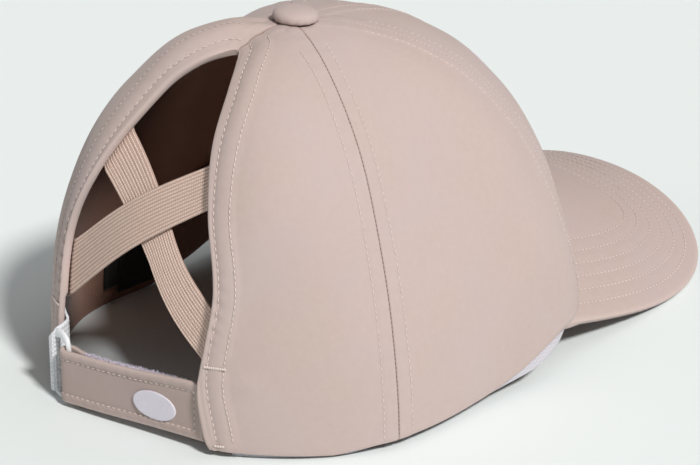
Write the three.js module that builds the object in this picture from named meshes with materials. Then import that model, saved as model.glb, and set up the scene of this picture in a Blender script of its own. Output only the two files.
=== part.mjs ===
import * as THREE from 'three';

// Ponytail cap with six panels, lying on its rim and on the two low sides of its brim.
// Millimetres. The brim points to -Y, the wearer's right is -X, the rim rests on z = 0.
// Angles are degrees round the head from the front (0) to the back (180), plus on the wearer's right.

const HALF_LENGTH = 99.4;
const CROWN_HEIGHT = 121.9;
const POLE_BACK = 9.4;
const POLE_SIDE = -1.2;
const FABRIC = 1.5;
const CLEARANCE = 0.3;
const SEWN_CLEARANCE = 0.5;
const SIDE_SEAM = 47.5;
const BACK_SEAM = 116.5;

const BRIM_END = 58.6;
const BRIM_REACH = 65.5;
const BRIM_HALF_WIDTH = 77.1;
const BRIM_SQUARENESS = 3.7;
const BRIM_ARCH = 103.2;
const BRIM_FALL = 0.232;
const BRIM_FRONT_Z = 37.4;
const BRIM_THICK = 2.8;

const HEM_EXTRA = 0.7;
const HEM_WIDTH = 10;
const OPENING_APEX = 0.19;

const SWEATBAND_THICK = 1.4;
const SWEATBAND_TALL = 31;
const SWEATBAND_DROP = 2.5;
const SWEATBAND_RIGHT_END = 152;
const SWEATBAND_LEFT_END = 147;
const FLOOR_GAP = 0.3;

const ELASTIC_THICK = 1.2;
const ELASTIC_BOW = 2.6;
const ELASTIC_TUCK = 7;
const ELASTIC_UPPER = { top: 92.8, bottom: 80.6 };
const ELASTIC_LOWER = { top: 52.6, bottom: 35.2 };

const STRAP_THICK = 1.4;
const STRAP_TALL = 18.2;
const STRAP_LEFT_Z = 2.2;
const STRAP_RIGHT_Z = 4.4;
const PILE_THICK = 0.6;
const PILE_INSET = 1;

const RING_WIRE = 0.9;
const RING_TALL = 22.8;
const RING_BEND = 1.7;
const RING_RIGHT_BAR = new THREE.Vector2(25.6, 90.4);
const RING_LEFT_BAR = new THREE.Vector2(33.6, 88.2);
const WEBBING_THICK = 0.8;
const WEBBING_RISE = 7;

const BUTTON_RADIUS = 8.6;
const BUTTON_TALL = 4.6;
const BUTTON_STEM = 1;
const BUTTON_SHIFT = -0.8;
const BUTTON_BACK = 6;
const BUTTON_BACK_DEEP = 2.4;

const PATCH_THICK = 1;
const FRONT_PATCH = { angle: 0, z: 92, halfWide: 24, halfTall: 12 };
const STRAP_PATCH = { x: -14, halfWide: 9, halfTall: 5.2 };

const LABEL_THICK = 0.6;
const CARE_LABEL = { from: -106, to: -89, lift: 0.6, tall: 30 };
const SIZE_TAB = { from: -111, to: -106.6, lift: 4, tall: 12 };

// Plan radius as a share of HALF_LENGTH.
const PLAN = [
  { angle: 0, share: 1 },
  { angle: 30, share: 0.958 },
  { angle: 60, share: 0.899 },
  { angle: 90, share: 0.8 },
  { angle: 120, share: 0.878 },
  { angle: 140, share: 0.906 },
  { angle: 155, share: 0.925 },
  { angle: 180, share: 0.937 },
];

// Exponent of the side profile, 2 is an ellipse and more is boxier.
const PROFILE = [
  { angle: 0, power: 2.4 },
  { angle: 60, power: 2.24 },
  { angle: 110, power: 1.92 },
  { angle: 150, power: 2.48 },
  { angle: 180, power: 1.97 },
];

// Rim height behind the brim as a share of BRIM_FRONT_Z, where the cloth lies on the floor it is cut to 0.
const RIM = [
  { angle: 75, share: 0.21 },
  { angle: 90, share: 0.098 },
  { angle: 120, share: 0.066 },
  { angle: 140, share: -0.039 },
  { angle: 155, share: 0.033 },
  { angle: 180, share: 0.048 },
];

// Half the ponytail opening in degrees, down the shell from the button (0) to the rim (1).
const OPENING = [
  { down: 0.19, half: 0 },
  { down: 0.3, half: 13.3 },
  { down: 0.45, half: 16.4 },
  { down: 0.6, half: 20 },
  { down: 0.75, half: 23.4 },
  { down: 0.9, half: 21.5 },
  { down: 1, half: 23.9 },
];

// Plan of the strap's outer face from its free end to the ring.
const STRAP_OUTER = [
  { x: -33, y: 84.4 },
  { x: -22, y: 85.9 },
  { x: -10.8, y: 87.6 },
  { x: 9.2, y: 91 },
  { x: 18, y: 92.4 },
];

// Plan of the strap's inner face from the ring back to the right panel.
const STRAP_INNER = [
  { x: 18, y: 86.4 },
  { x: 7, y: 85.8 },
  { x: -10.2, y: 83.5 },
  { x: -21.6, y: 81.8 },
  { x: -31, y: 80.2 },
];

// Plan of the webbing where it turns out round the edge of the left panel.
const WEBBING_PLAN = [
  { x: 34.2, y: 81.8 },
  { x: 32.2, y: 82.8 },
  { x: 31.1, y: 84.6 },
  { x: 30.9, y: 87 },
];

function smooth(knots, values, at) {
  let i = 0;
  while (i < knots.length - 2 && at > knots[i + 1]) i += 1;
  const slope = (k) => {
    const before = Math.max(k - 1, 0);
    const after = Math.min(k + 1, knots.length - 1);
    return (values[after] - values[before]) / (knots[after] - knots[before]);
  };
  const span = knots[i + 1] - knots[i];
  const f = THREE.MathUtils.clamp((at - knots[i]) / span, 0, 1);
  const f2 = f * f;
  const f3 = f2 * f;
  return (2 * f3 - 3 * f2 + 1) * values[i] + (f3 - 2 * f2 + f) * span * slope(i)
    + (3 * f2 - 2 * f3) * values[i + 1] + (f3 - f2) * span * slope(i + 1);
}

// Values of a table that is the same on both sides of the head.
function round(table, key, angle) {
  const folded = Math.abs(angle) > 180 ? 360 - Math.abs(angle) : Math.abs(angle);
  const last = table.length - 1;
  const knots = table.map((row) => row.angle);
  const values = table.map((row) => row[key]);
  if (knots[0] === 0) {
    knots.unshift(-knots[1]);
    values.unshift(values[1]);
  }
  knots.push(360 - table[last - 1].angle);
  values.push(table[last - 1][key]);
  return smooth(knots, values, folded);
}

function planPoint(angle) {
  const turn = THREE.MathUtils.degToRad(angle);
  const radius = HALF_LENGTH * round(PLAN, 'share', angle);
  return new THREE.Vector2(-radius * Math.sin(turn), -radius * Math.cos(turn));
}

function brimTop(x, y) {
  const arch = BRIM_ARCH - Math.sqrt(BRIM_ARCH ** 2 - Math.min(Math.abs(x), BRIM_ARCH) ** 2);
  return BRIM_FRONT_Z + BRIM_FALL * (y + HALF_LENGTH) - arch;
}

function towardsPole(foot, out, z) {
  const x = POLE_SIDE + (foot.x - POLE_SIDE) * out;
  return new THREE.Vector3(x, POLE_BACK + (foot.y - POLE_BACK) * out, z);
}

// Shell point at a given height above the floor.
function shellAt(angle, z) {
  const foot = planPoint(angle);
  const power = round(PROFILE, 'power', angle);
  const share = THREE.MathUtils.clamp(z / CROWN_HEIGHT, 0, 1);
  const out = Math.sin(Math.acos(share ** (power / 2))) ** (2 / power);
  return towardsPole(foot, out, z);
}

function rimHeight(angle) {
  const side = Math.abs(angle);
  const joint = (a) => {
    let z = BRIM_FRONT_Z * 0.6;
    for (let i = 0; i < 4; i += 1) {
      const foot = shellAt(a, z);
      z = brimTop(foot.x, foot.y) + SEWN_CLEARANCE;
    }
    return z;
  };
  if (side <= BRIM_END) return joint(side);
  const table = [
    { angle: BRIM_END - 8, share: joint(BRIM_END - 8) / BRIM_FRONT_Z },
    { angle: BRIM_END, share: joint(BRIM_END) / BRIM_FRONT_Z },
    ...RIM,
  ];
  return Math.max(BRIM_FRONT_Z * round(table, 'share', side), 0);
}

// Shell point by how far down it is from the button (0) to the rim (1).
function shellPoint(angle, down) {
  const foot = planPoint(angle);
  const power = round(PROFILE, 'power', angle);
  const rimShare = rimHeight(angle) / CROWN_HEIGHT;
  const rimTurn = Math.PI / 2 - Math.asin(rimShare ** (power / 2));
  const turn = Math.max(down, 0.0001) * rimTurn;
  const out = Math.sin(turn) ** (2 / power);
  const z = CROWN_HEIGHT * Math.max(Math.cos(turn), 0) ** (2 / power);
  return towardsPole(foot, out, z);
}

function outward(along, across, centre) {
  const normal = along.clone().cross(across).normalize();
  return normal.dot(centre) < 0 ? normal.negate() : normal;
}

function shellNormal(angle, down) {
  const low = Math.max(down - 0.01, 0.004);
  const high = Math.min(down + 0.01, 1);
  const along = shellPoint(angle + 0.5, down).sub(shellPoint(angle - 0.5, down));
  const across = shellPoint(angle, high).sub(shellPoint(angle, low));
  const centre = shellPoint(angle, down).sub(new THREE.Vector3(0, 0, CROWN_HEIGHT * 0.3));
  const normal = outward(along, across, centre);
  if (down > 0.999) normal.setZ(0).normalize();
  return normal;
}

// Point inside the shell at a height, moved level towards the inside.
function insideAt(angle, z, depth) {
  const along = shellAt(angle + 0.5, z).sub(shellAt(angle - 0.5, z));
  const level = new THREE.Vector3(along.y, -along.x, 0).normalize();
  const point = shellAt(angle, z);
  if (level.dot(point) > 0) level.negate();
  return point.addScaledVector(level, depth);
}

function openingHalf(down) {
  if (down <= OPENING_APEX) return 0;
  const knots = OPENING.map((row) => Math.sqrt(row.down - OPENING_APEX));
  return Math.max(smooth(knots, OPENING.map((row) => row.half), Math.sqrt(down - OPENING_APEX)), 0);
}

function downAtHeight(angle, z) {
  let low = 0;
  let high = 1;
  for (let i = 0; i < 40; i += 1) {
    const middle = (low + high) / 2;
    if (shellPoint(angle, middle).z > z) low = middle;
    else high = middle;
  }
  return (low + high) / 2;
}

// Point square below the shell where the shell is at that height.
function beneath(angle, z, depth) {
  const down = downAtHeight(angle, z);
  return shellPoint(angle, down).addScaledVector(shellNormal(angle, down), -depth);
}

// Angle of the opening's edge at a height, on the side given by +1 (right) or -1 (left).
function edgeAngle(z, side) {
  let half = 20;
  for (let i = 0; i < 12; i += 1) half = openingHalf(downAtHeight(180 - half, z));
  return side * (180 - half);
}

// Closed solid between two grids of points, columns run with u and rows with v.
function slab(columns, rows, face, back) {
  const positions = [];
  const index = [];
  const stride = rows + 1;
  const layer = (columns + 1) * stride;
  [face, back].forEach((grid) => {
    for (let i = 0; i <= columns; i += 1) {
      for (let j = 0; j <= rows; j += 1) positions.push(...grid(i / columns, j / rows).toArray());
    }
  });
  const quad = (a, b, c, d) => index.push(a, b, c, a, c, d);
  for (let i = 0; i < columns; i += 1) {
    for (let j = 0; j < rows; j += 1) {
      const a = i * stride + j;
      quad(a, a + 1, a + stride + 1, a + stride);
      quad(layer + a, layer + a + stride, layer + a + stride + 1, layer + a + 1);
    }
  }
  const edge = [];
  for (let i = 0; i < columns; i += 1) edge.push(i * stride);
  for (let j = 0; j < rows; j += 1) edge.push(columns * stride + j);
  for (let i = columns; i > 0; i -= 1) edge.push(i * stride + rows);
  for (let j = rows; j > 0; j -= 1) edge.push(j);
  edge.forEach((a, k) => {
    const b = edge[(k + 1) % edge.length];
    quad(a, b, layer + b, layer + a);
  });
  return closed(positions, index);
}

// Geometry with its faces turned outwards.
function closed(positions, index) {
  let volume = 0;
  const corner = (k) => new THREE.Vector3(...positions.slice(3 * k, 3 * k + 3));
  for (let i = 0; i < index.length; i += 3) {
    const [a, b, c] = [corner(index[i]), corner(index[i + 1]), corner(index[i + 2])];
    volume += a.dot(b.cross(c));
  }
  if (volume < 0) {
    for (let i = 0; i < index.length; i += 3) {
      [index[i + 1], index[i + 2]] = [index[i + 2], index[i + 1]];
    }
  }
  const geometry = new THREE.BufferGeometry();
  geometry.setAttribute('position', new THREE.Float32BufferAttribute(positions, 3));
  geometry.setIndex(index);
  geometry.computeVertexNormals();
  return geometry;
}

// Half a seam's clearance as degrees at that height on the shell.
function seamGap(angle, down) {
  const point = shellPoint(angle, down);
  const reach = Math.hypot(point.x - POLE_SIDE, point.y - POLE_BACK);
  return THREE.MathUtils.radToDeg(CLEARANCE / 2 / Math.max(reach, 2));
}

// One crown panel, the side is +1 on the wearer's right and -1 on the left.
function panel(side, fromAngle, toAngle, columns, rows, isBack) {
  const topDown = 0.022;
  const place = (u, v) => {
    const down = isBack ? backRow(v, topDown) : topDown + (1 - topDown) * v;
    const near = fromAngle + seamGap(fromAngle, down);
    const edge = isBack ? Math.min(180 - openingHalf(down), 180 - seamGap(180, down)) : toAngle;
    const far = isBack ? edge : toAngle - seamGap(toAngle, down);
    return { angle: side * (near + (far - near) * u), down, edge };
  };
  const face = (u, v) => {
    const { angle, down } = place(u, v);
    return shellPoint(angle, down);
  };
  const back = (u, v) => {
    const { angle, down, edge } = place(u, v);
    const point = shellPoint(angle, down);
    const hem = isBack && down > OPENING_APEX / 2 && point.z > SWEATBAND_TALL + 4;
    const fromEdge = THREE.MathUtils.degToRad(edge - Math.abs(angle)) * Math.hypot(point.x, point.y);
    const depth = FABRIC + (hem && fromEdge < HEM_WIDTH ? HEM_EXTRA : 0);
    point.addScaledVector(shellNormal(angle, down), -depth);
    const seat = brimTop(point.x, point.y) + SEWN_CLEARANCE;
    const onBrim = down > 0.999 && Math.abs(angle) < BRIM_END + 4;
    return onBrim ? point.setZ(Math.max(point.z, seat)) : point;
  };
  return slab(columns, rows, face, back);
}

// Rows of the back panels, closer together below the apex of the opening.
function backRow(v, topDown) {
  const above = 0.2;
  if (v <= above) return topDown + (OPENING_APEX - topDown) * (v / above);
  return OPENING_APEX + (1 - OPENING_APEX) * ((v - above) / (1 - above)) ** 1.5;
}

function brim() {
  const place = (u, v) => {
    const angle = (2 * u - 1) * BRIM_END;
    const root = insideAt(angle, rimHeight(angle), FABRIC);
    const corner = insideAt(BRIM_END, rimHeight(BRIM_END), FABRIC);
    const turn = (2 * u - 1) * Math.PI / 2;
    const tipY = -(HALF_LENGTH + BRIM_REACH);
    const sine = Math.sign(turn) * Math.abs(Math.sin(turn)) ** (2 / BRIM_SQUARENESS);
    const cosine = Math.max(Math.cos(turn), 0) ** (2 / BRIM_SQUARENESS);
    const edge = new THREE.Vector2(-BRIM_HALF_WIDTH * sine, corner.y + (tipY - corner.y) * cosine);
    const x = root.x + (edge.x - root.x) * v;
    const y = root.y + (edge.y - root.y) * v;
    return new THREE.Vector3(x, y, brimTop(x, y));
  };
  const under = (u, v) => {
    const point = place(u, v);
    const lean = point.x / Math.sqrt(BRIM_ARCH ** 2 - point.x ** 2);
    const normal = new THREE.Vector3(lean, -BRIM_FALL, 1).normalize();
    const root = place(u, 0);
    const share = Math.min(Math.hypot(point.x - root.x, point.y - root.y) / 12, 1);
    const square = new THREE.Vector3(0, 0, 1).lerp(normal, share).normalize();
    return point.addScaledVector(square, -BRIM_THICK);
  };
  return slab(40, 10, place, under);
}

function sweatband() {
  const depth = FABRIC + SEWN_CLEARANCE;
  const place = (u, v, inner) => {
    const angle = -SWEATBAND_LEFT_END + (SWEATBAND_LEFT_END + SWEATBAND_RIGHT_END) * u;
    const rim = rimHeight(angle);
    const low = Math.max(rim - SWEATBAND_DROP, FLOOR_GAP);
    const z = low + (rim + SWEATBAND_TALL - low) * v;
    return insideAt(angle, Math.max(z, rim), depth + (inner ? SWEATBAND_THICK : 0)).setZ(z);
  };
  return slab(64, 4, (u, v) => place(u, v, false), (u, v) => place(u, v, true));
}

// Label lying on the sweatband's inner face.
function label(size) {
  const depth = FABRIC + SEWN_CLEARANCE + SWEATBAND_THICK + CLEARANCE;
  const place = (u, v, inner) => {
    const angle = size.from + (size.to - size.from) * u;
    const z = rimHeight(angle) + size.lift + size.tall * v;
    return insideAt(angle, z, depth + (inner ? LABEL_THICK : 0));
  };
  return slab(6, 4, (u, v) => place(u, v, false), (u, v) => place(u, v, true));
}

// Elastic band across the opening, tucked under both hems and bowed a little outwards.
function elastic(rightEnd, leftEnd, lift) {
  const depth = FABRIC + HEM_EXTRA + CLEARANCE;
  const spans = 14;
  const tucks = 2;
  const total = spans + 2 * tucks;
  const tilt = (rightEnd.top - leftEnd.top) / 74;
  const place = (u, v, inner) => {
    const step = u * total;
    const zRight = rightEnd.top + (rightEnd.bottom - rightEnd.top) * v;
    const zLeft = leftEnd.top + (leftEnd.bottom - leftEnd.top) * v;
    const down = depth + (inner ? ELASTIC_THICK : 0);
    if (step < tucks || step > total - tucks) {
      const side = step < tucks ? 1 : -1;
      const beyond = ELASTIC_TUCK * (side > 0 ? 1 - step / tucks : 1 - (total - step) / tucks);
      const z = (side > 0 ? zRight + tilt * beyond : zLeft - tilt * beyond);
      const start = edgeAngle(side > 0 ? zRight : zLeft, side);
      const reach = Math.hypot(shellAt(start, z).x, shellAt(start, z).y);
      return beneath(start - side * THREE.MathUtils.radToDeg(beyond / reach), z, down);
    }
    const f = (step - tucks) / spans;
    const a = beneath(edgeAngle(zRight, 1), zRight, down);
    const b = beneath(edgeAngle(zLeft, -1), zLeft, down);
    const bow = (ELASTIC_BOW + lift) * Math.sin(Math.PI * f) ** 1.2;
    const out = new THREE.Vector3(0, 0.82, 0.57);
    return a.lerp(b, f).addScaledVector(out, bow);
  };
  return slab(total, 4, (u, v) => place(u, v, false), (u, v) => place(u, v, true));
}

function strapLow(x) {
  const f = THREE.MathUtils.clamp((x - STRAP_OUTER[0].x) / (RING_RIGHT_BAR.x - STRAP_OUTER[0].x), 0, 1);
  return STRAP_RIGHT_Z + (STRAP_LEFT_Z - STRAP_RIGHT_Z) * f;
}

function planCurve(points) {
  return new THREE.CatmullRomCurve3(points.map((p) => new THREE.Vector3(p.x, p.y, 0)), false, 'centripetal');
}

// Upright strip along a plan curve, its thickness goes to the left of the direction of travel.
function strip(curve, columns, thick, low, high) {
  const place = (u, v, inner) => {
    const point = curve.getPoint(u);
    const tangent = curve.getTangent(u);
    const side = new THREE.Vector3(-tangent.y, tangent.x, 0).normalize();
    if (inner) point.addScaledVector(side, thick);
    const bottom = low(point.x, u);
    return point.setZ(bottom + (high(point.x, u) - bottom) * v);
  };
  return slab(columns, 2, (u, v) => place(u, v, false), (u, v) => place(u, v, true));
}

function arc(centre, radius, from, to, steps) {
  const points = [];
  for (let i = 0; i <= steps; i += 1) {
    const turn = THREE.MathUtils.degToRad(from + (to - from) * i / steps);
    points.push({ x: centre.x + radius * Math.cos(turn), y: centre.y + radius * Math.sin(turn) });
  }
  return points;
}

// Strap from its root inside the right panel, round the ring's right bar and back on itself.
function strapCurve() {
  const depth = FABRIC + SEWN_CLEARANCE + SWEATBAND_THICK + CLEARANCE + STRAP_THICK;
  const top = STRAP_RIGHT_Z + STRAP_TALL;
  const root = [142, 146, 150, 153].map((angle) => insideAt(angle, top, depth));
  const fold = arc(RING_RIGHT_BAR, RING_WIRE + SEWN_CLEARANCE + STRAP_THICK, -88, 98, 6);
  return planCurve([...root, ...[...STRAP_INNER].reverse(), ...fold, ...[...STRAP_OUTER].reverse()]);
}

function strap() {
  return strip(strapCurve(), 60, STRAP_THICK, (x) => strapLow(x), (x) => strapLow(x) + STRAP_TALL);
}

function pileTape() {
  const offset = STRAP_THICK + CLEARANCE;
  const inner = planCurve([...STRAP_INNER].reverse());
  const points = [];
  for (let i = 0; i <= 12; i += 1) {
    const f = 0.02 + 0.94 * i / 12;
    const tangent = inner.getTangent(f);
    const side = new THREE.Vector3(-tangent.y, tangent.x, 0).normalize();
    points.push(inner.getPoint(f).addScaledVector(side, offset));
  }
  const low = (x) => strapLow(x) + PILE_INSET;
  return strip(planCurve(points), 20, PILE_THICK, low, (x) => low(x) + STRAP_TALL - 2 * PILE_INSET);
}

function webbing() {
  const depth = FABRIC + CLEARANCE + WEBBING_THICK;
  const root = [-148, -151, -154.5].map((angle) => insideAt(angle, STRAP_TALL * 1.6, depth));
  const around = arc(RING_LEFT_BAR, RING_WIRE + CLEARANCE + WEBBING_THICK, 165, -42, 7);
  const curve = planCurve([...root, ...WEBBING_PLAN, ...around]);
  const rise = (u) => WEBBING_RISE * THREE.MathUtils.clamp(1 - u / 0.3, 0, 1);
  const low = (x, u) => STRAP_LEFT_Z + rise(u) / 2;
  return strip(curve, 40, -WEBBING_THICK, low, (x, u) => low(x, u) + STRAP_TALL + rise(u) / 2);
}

function ring() {
  const positions = [];
  const index = [];
  const across = RING_LEFT_BAR.clone().sub(RING_RIGHT_BAR);
  const halfWide = across.length() / 2;
  across.normalize();
  const halfTall = RING_TALL / 2 - RING_WIRE;
  const path = [];
  [[1, 1, 0], [-1, 1, 90], [-1, -1, 180], [1, -1, 270]].forEach(([sx, sz, start]) => {
    for (let i = 0; i <= 4; i += 1) {
      const turn = THREE.MathUtils.degToRad(start + 22.5 * i);
      const a = sx * (halfWide - RING_BEND) + RING_BEND * Math.cos(turn);
      const z = sz * (halfTall - RING_BEND) + RING_BEND * Math.sin(turn);
      path.push({ a, z, turn });
    }
  });
  const centre = RING_RIGHT_BAR.clone().add(RING_LEFT_BAR).multiplyScalar(0.5);
  const sides = 8;
  path.forEach(({ a, z, turn }) => {
    for (let k = 0; k < sides; k += 1) {
      const roll = 2 * Math.PI * k / sides;
      const reach = RING_WIRE * Math.cos(roll);
      const off = RING_WIRE * Math.sin(roll);
      const flat = a + reach * Math.cos(turn);
      const x = centre.x + across.x * flat - across.y * off;
      const y = centre.y + across.y * flat + across.x * off;
      positions.push(x, y, RING_TALL / 2 + FLOOR_GAP / 3 + z + reach * Math.sin(turn));
    }
  });
  path.forEach((p, i) => {
    const next = ((i + 1) % path.length) * sides;
    for (let k = 0; k < sides; k += 1) {
      const k2 = (k + 1) % sides;
      index.push(i * sides + k, next + k, next + k2, i * sides + k, next + k2, i * sides + k2);
    }
  });
  return closed(positions, index);
}

// Domed button on a rivet through the crown, with the rivet's flat back inside.
function button() {
  const profile = [
    [0, -BUTTON_BACK_DEEP - 1],
    [BUTTON_BACK, -BUTTON_BACK_DEEP - 1],
    [BUTTON_BACK, -BUTTON_BACK_DEEP],
    [BUTTON_STEM, -BUTTON_BACK_DEEP],
    [BUTTON_STEM, CLEARANCE],
    [BUTTON_RADIUS * 0.93, CLEARANCE - 0.1],
    [BUTTON_RADIUS, BUTTON_TALL * 0.3],
    [BUTTON_RADIUS * 0.95, BUTTON_TALL * 0.58],
    [BUTTON_RADIUS * 0.78, BUTTON_TALL * 0.82],
    [BUTTON_RADIUS * 0.5, BUTTON_TALL * 0.95],
    [BUTTON_RADIUS * 0.2, BUTTON_TALL],
    [0, BUTTON_TALL],
  ].map(([r, z]) => new THREE.Vector2(r, z));
  const geometry = new THREE.LatheGeometry(profile, 24);
  geometry.rotateX(Math.PI / 2);
  geometry.translate(POLE_SIDE + BUTTON_SHIFT, POLE_BACK + BUTTON_SHIFT, CROWN_HEIGHT);
  return geometry;
}

// Oval plate laid over a surface, given by a map from the plate's own plane.
function oval(size, surface) {
  const disc = (u, v) => {
    const a = 2 * u - 1;
    const b = 2 * v - 1;
    const x = a * Math.sqrt(1 - b * b / 2);
    const z = b * Math.sqrt(1 - a * a / 2);
    return [x * size.halfWide, z * size.halfTall];
  };
  return slab(
    12,
    8,
    (u, v) => surface(...disc(u, v), CLEARANCE + PATCH_THICK),
    (u, v) => surface(...disc(u, v), CLEARANCE),
  );
}

function frontPatch() {
  return oval(FRONT_PATCH, (a, b, lift) => {
    const z = FRONT_PATCH.z + b;
    const reach = shellAt(0, z).distanceTo(new THREE.Vector3(0, POLE_BACK, z));
    const angle = FRONT_PATCH.angle - THREE.MathUtils.radToDeg(a / reach);
    const down = downAtHeight(angle, z);
    return shellPoint(angle, down).addScaledVector(shellNormal(angle, down), lift);
  });
}

function strapPatch() {
  const curve = planCurve(STRAP_OUTER);
  const length = curve.getLength();
  const start = (STRAP_PATCH.x - STRAP_OUTER[0].x) / (STRAP_OUTER[4].x - STRAP_OUTER[0].x);
  return oval(STRAP_PATCH, (a, b, lift) => {
    const f = start + a / length;
    const tangent = curve.getTangentAt(f);
    const side = new THREE.Vector3(-tangent.y, tangent.x, 0).normalize();
    const point = curve.getPointAt(f).addScaledVector(side, lift);
    return point.setZ(strapLow(STRAP_PATCH.x) + STRAP_TALL / 2 + b);
  });
}

function piece(name, geometry, color, roughness) {
  const mesh = new THREE.Mesh(geometry, new THREE.MeshStandardMaterial({ color, roughness, name }));
  mesh.name = name;
  return mesh;
}

const TWILL = '#d2bdb6';
const RIB = '#c0a195';
const WHITE = '#eceef0';
const LILAC = '#dcdce6';
const BLACK = '#1c1b1a';

const cap = new THREE.Group();
cap.name = 'ponytail_cap';
[['right', 1], ['left', -1]].forEach(([name, side]) => {
  cap.add(piece(`crown_panel_front_${name}`, panel(side, 0, SIDE_SEAM, 9, 14, false), TWILL, 0.9));
  cap.add(piece(`crown_panel_side_${name}`, panel(side, SIDE_SEAM, BACK_SEAM, 12, 14, false), TWILL, 0.9));
  cap.add(piece(`crown_panel_back_${name}`, panel(side, BACK_SEAM, 180, 9, 20, true), TWILL, 0.9));
});
cap.add(piece('crown_button', button(), TWILL, 0.85));
cap.add(piece('brim', brim(), TWILL, 0.9));
cap.add(piece('sweatband', sweatband(), LILAC, 0.9));
const outerElastic = elastic(ELASTIC_UPPER, ELASTIC_LOWER, ELASTIC_THICK + SEWN_CLEARANCE);
cap.add(piece('elastic_band_outer', outerElastic, RIB, 0.8));
cap.add(piece('elastic_band_inner', elastic(ELASTIC_LOWER, ELASTIC_UPPER, 0), RIB, 0.8));
cap.add(piece('closure_strap', strap(), TWILL, 0.9));
cap.add(piece('closure_pile_tape', pileTape(), LILAC, 1));
cap.add(piece('strap_ring', ring(), WHITE, 0.4));
cap.add(piece('ring_webbing', webbing(), WHITE, 0.8));
cap.add(piece('care_label', label(CARE_LABEL), BLACK, 0.7));
cap.add(piece('size_tab', label(SIZE_TAB), BLACK, 0.7));
cap.add(piece('front_patch', frontPatch(), LILAC, 0.6));
cap.add(piece('strap_patch', strapPatch(), LILAC, 0.6));

const box = new THREE.Box3().setFromObject(cap);
const middle = box.getCenter(new THREE.Vector3()).setZ(box.min.z);
cap.children.forEach((mesh) => mesh.geometry.translate(-middle.x, -middle.y, -middle.z));

export default cap;
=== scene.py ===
import math

import bpy
import numpy as np
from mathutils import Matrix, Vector


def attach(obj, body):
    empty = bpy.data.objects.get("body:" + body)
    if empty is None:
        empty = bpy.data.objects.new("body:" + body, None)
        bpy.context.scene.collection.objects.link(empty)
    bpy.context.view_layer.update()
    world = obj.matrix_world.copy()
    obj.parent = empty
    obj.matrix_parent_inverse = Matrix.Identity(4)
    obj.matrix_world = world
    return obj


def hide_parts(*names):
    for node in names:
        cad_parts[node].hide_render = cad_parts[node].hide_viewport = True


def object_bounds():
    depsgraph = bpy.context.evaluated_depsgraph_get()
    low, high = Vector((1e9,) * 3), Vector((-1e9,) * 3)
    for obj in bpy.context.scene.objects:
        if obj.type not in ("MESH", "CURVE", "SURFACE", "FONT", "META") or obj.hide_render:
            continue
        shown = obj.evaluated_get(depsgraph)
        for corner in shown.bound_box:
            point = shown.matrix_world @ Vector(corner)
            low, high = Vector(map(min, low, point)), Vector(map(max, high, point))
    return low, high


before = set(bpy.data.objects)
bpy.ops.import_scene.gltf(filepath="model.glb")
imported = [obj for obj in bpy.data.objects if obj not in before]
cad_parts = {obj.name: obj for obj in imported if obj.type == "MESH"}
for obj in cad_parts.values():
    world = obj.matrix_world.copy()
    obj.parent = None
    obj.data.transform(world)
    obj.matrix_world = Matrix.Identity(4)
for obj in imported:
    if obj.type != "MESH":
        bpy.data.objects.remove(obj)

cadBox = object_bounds()
mm = 0.001

# camera, floor and light come first

view = {
    "azimuth": 223.04,  # degrees, 0 looks along +Y
    "elevation": 23.02,
    "distance": 941.0,  # mm from the target
    "target": (4.87, 9.48, 32.19),  # mm
    "lens": 135.6,
}


def directionTo(azimuth, elevation):
    turn, rise = math.radians(azimuth), math.radians(elevation)
    return Vector((math.sin(turn) * math.cos(rise), -math.cos(turn) * math.cos(rise), math.sin(rise)))


def setCamera():
    back = directionTo(view["azimuth"], view["elevation"])
    camera = bpy.data.objects.new("camera", bpy.data.cameras.new("camera"))
    bpy.context.scene.collection.objects.link(camera)
    camera.data.lens = view["lens"]
    camera.data.sensor_width = 36
    camera.data.clip_start = 0.05
    camera.data.clip_end = 20
    camera.location = (Vector(view["target"]) + back * view["distance"]) * mm
    camera.rotation_euler = (-back).to_track_quat("-Z", "Y").to_euler()
    bpy.context.scene.camera = camera


def linear(hexColour):
    # sRGB hex to the linear colour that the shaders want
    parts = [int(hexColour[i:i + 2], 16) / 255 for i in (1, 3, 5)]
    return [c / 12.92 if c <= 0.04045 else ((c + 0.055) / 1.055) ** 2.4 for c in parts] + [1.0]


def addNode(tree, kind, settings=None, inputs=None):
    # one node with its settings, and its inputs as values or as sockets to link from
    node = tree.nodes.new(kind)
    for key, value in (settings or {}).items():
        setattr(node, key, value)
    for key, value in (inputs or {}).items():
        if isinstance(value, bpy.types.NodeSocket):
            tree.links.new(value, node.inputs[key])
        else:
            node.inputs[key].default_value = value
    return node


lighting = {  # azimuth, elevation, strength, softness in degrees, colour
    "key_light": (256, 45, 3.15, 8, "#fffcf8"),  # on the wearer's right and a little behind
    "fill_light": (150, 18, 0.22, 40, "#ffffff"),  # on the wearer's left, for the side in shade
    "top_light": (335, 55, 0.5, 50, "#ffffff"),  # above the front, for the soft shade on the near side
}
sky = {"colour": "#f7f5f3", "strength": 0.2}


def sunAt(name, azimuth, elevation, strength, softness, colour):
    towards = directionTo(azimuth, elevation)
    lamp = bpy.data.objects.new(name, bpy.data.lights.new(name, "SUN"))
    lamp.data.energy = strength
    lamp.data.angle = math.radians(softness)
    lamp.data.color = linear(colour)[:3]
    lamp.location = towards * 2
    lamp.rotation_euler = towards.to_track_quat("Z", "Y").to_euler()
    bpy.context.scene.collection.objects.link(lamp)


def setLight():
    for name, lamp in lighting.items():
        sunAt(name, *lamp)
    world = bpy.data.worlds.new("studio")
    world.use_nodes = True
    background = world.node_tree.nodes["Background"]
    background.inputs[0].default_value = linear(sky["colour"])
    background.inputs[1].default_value = sky["strength"]
    bpy.context.scene.world = world
    bpy.context.scene.view_settings.view_transform = "Standard"


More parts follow.
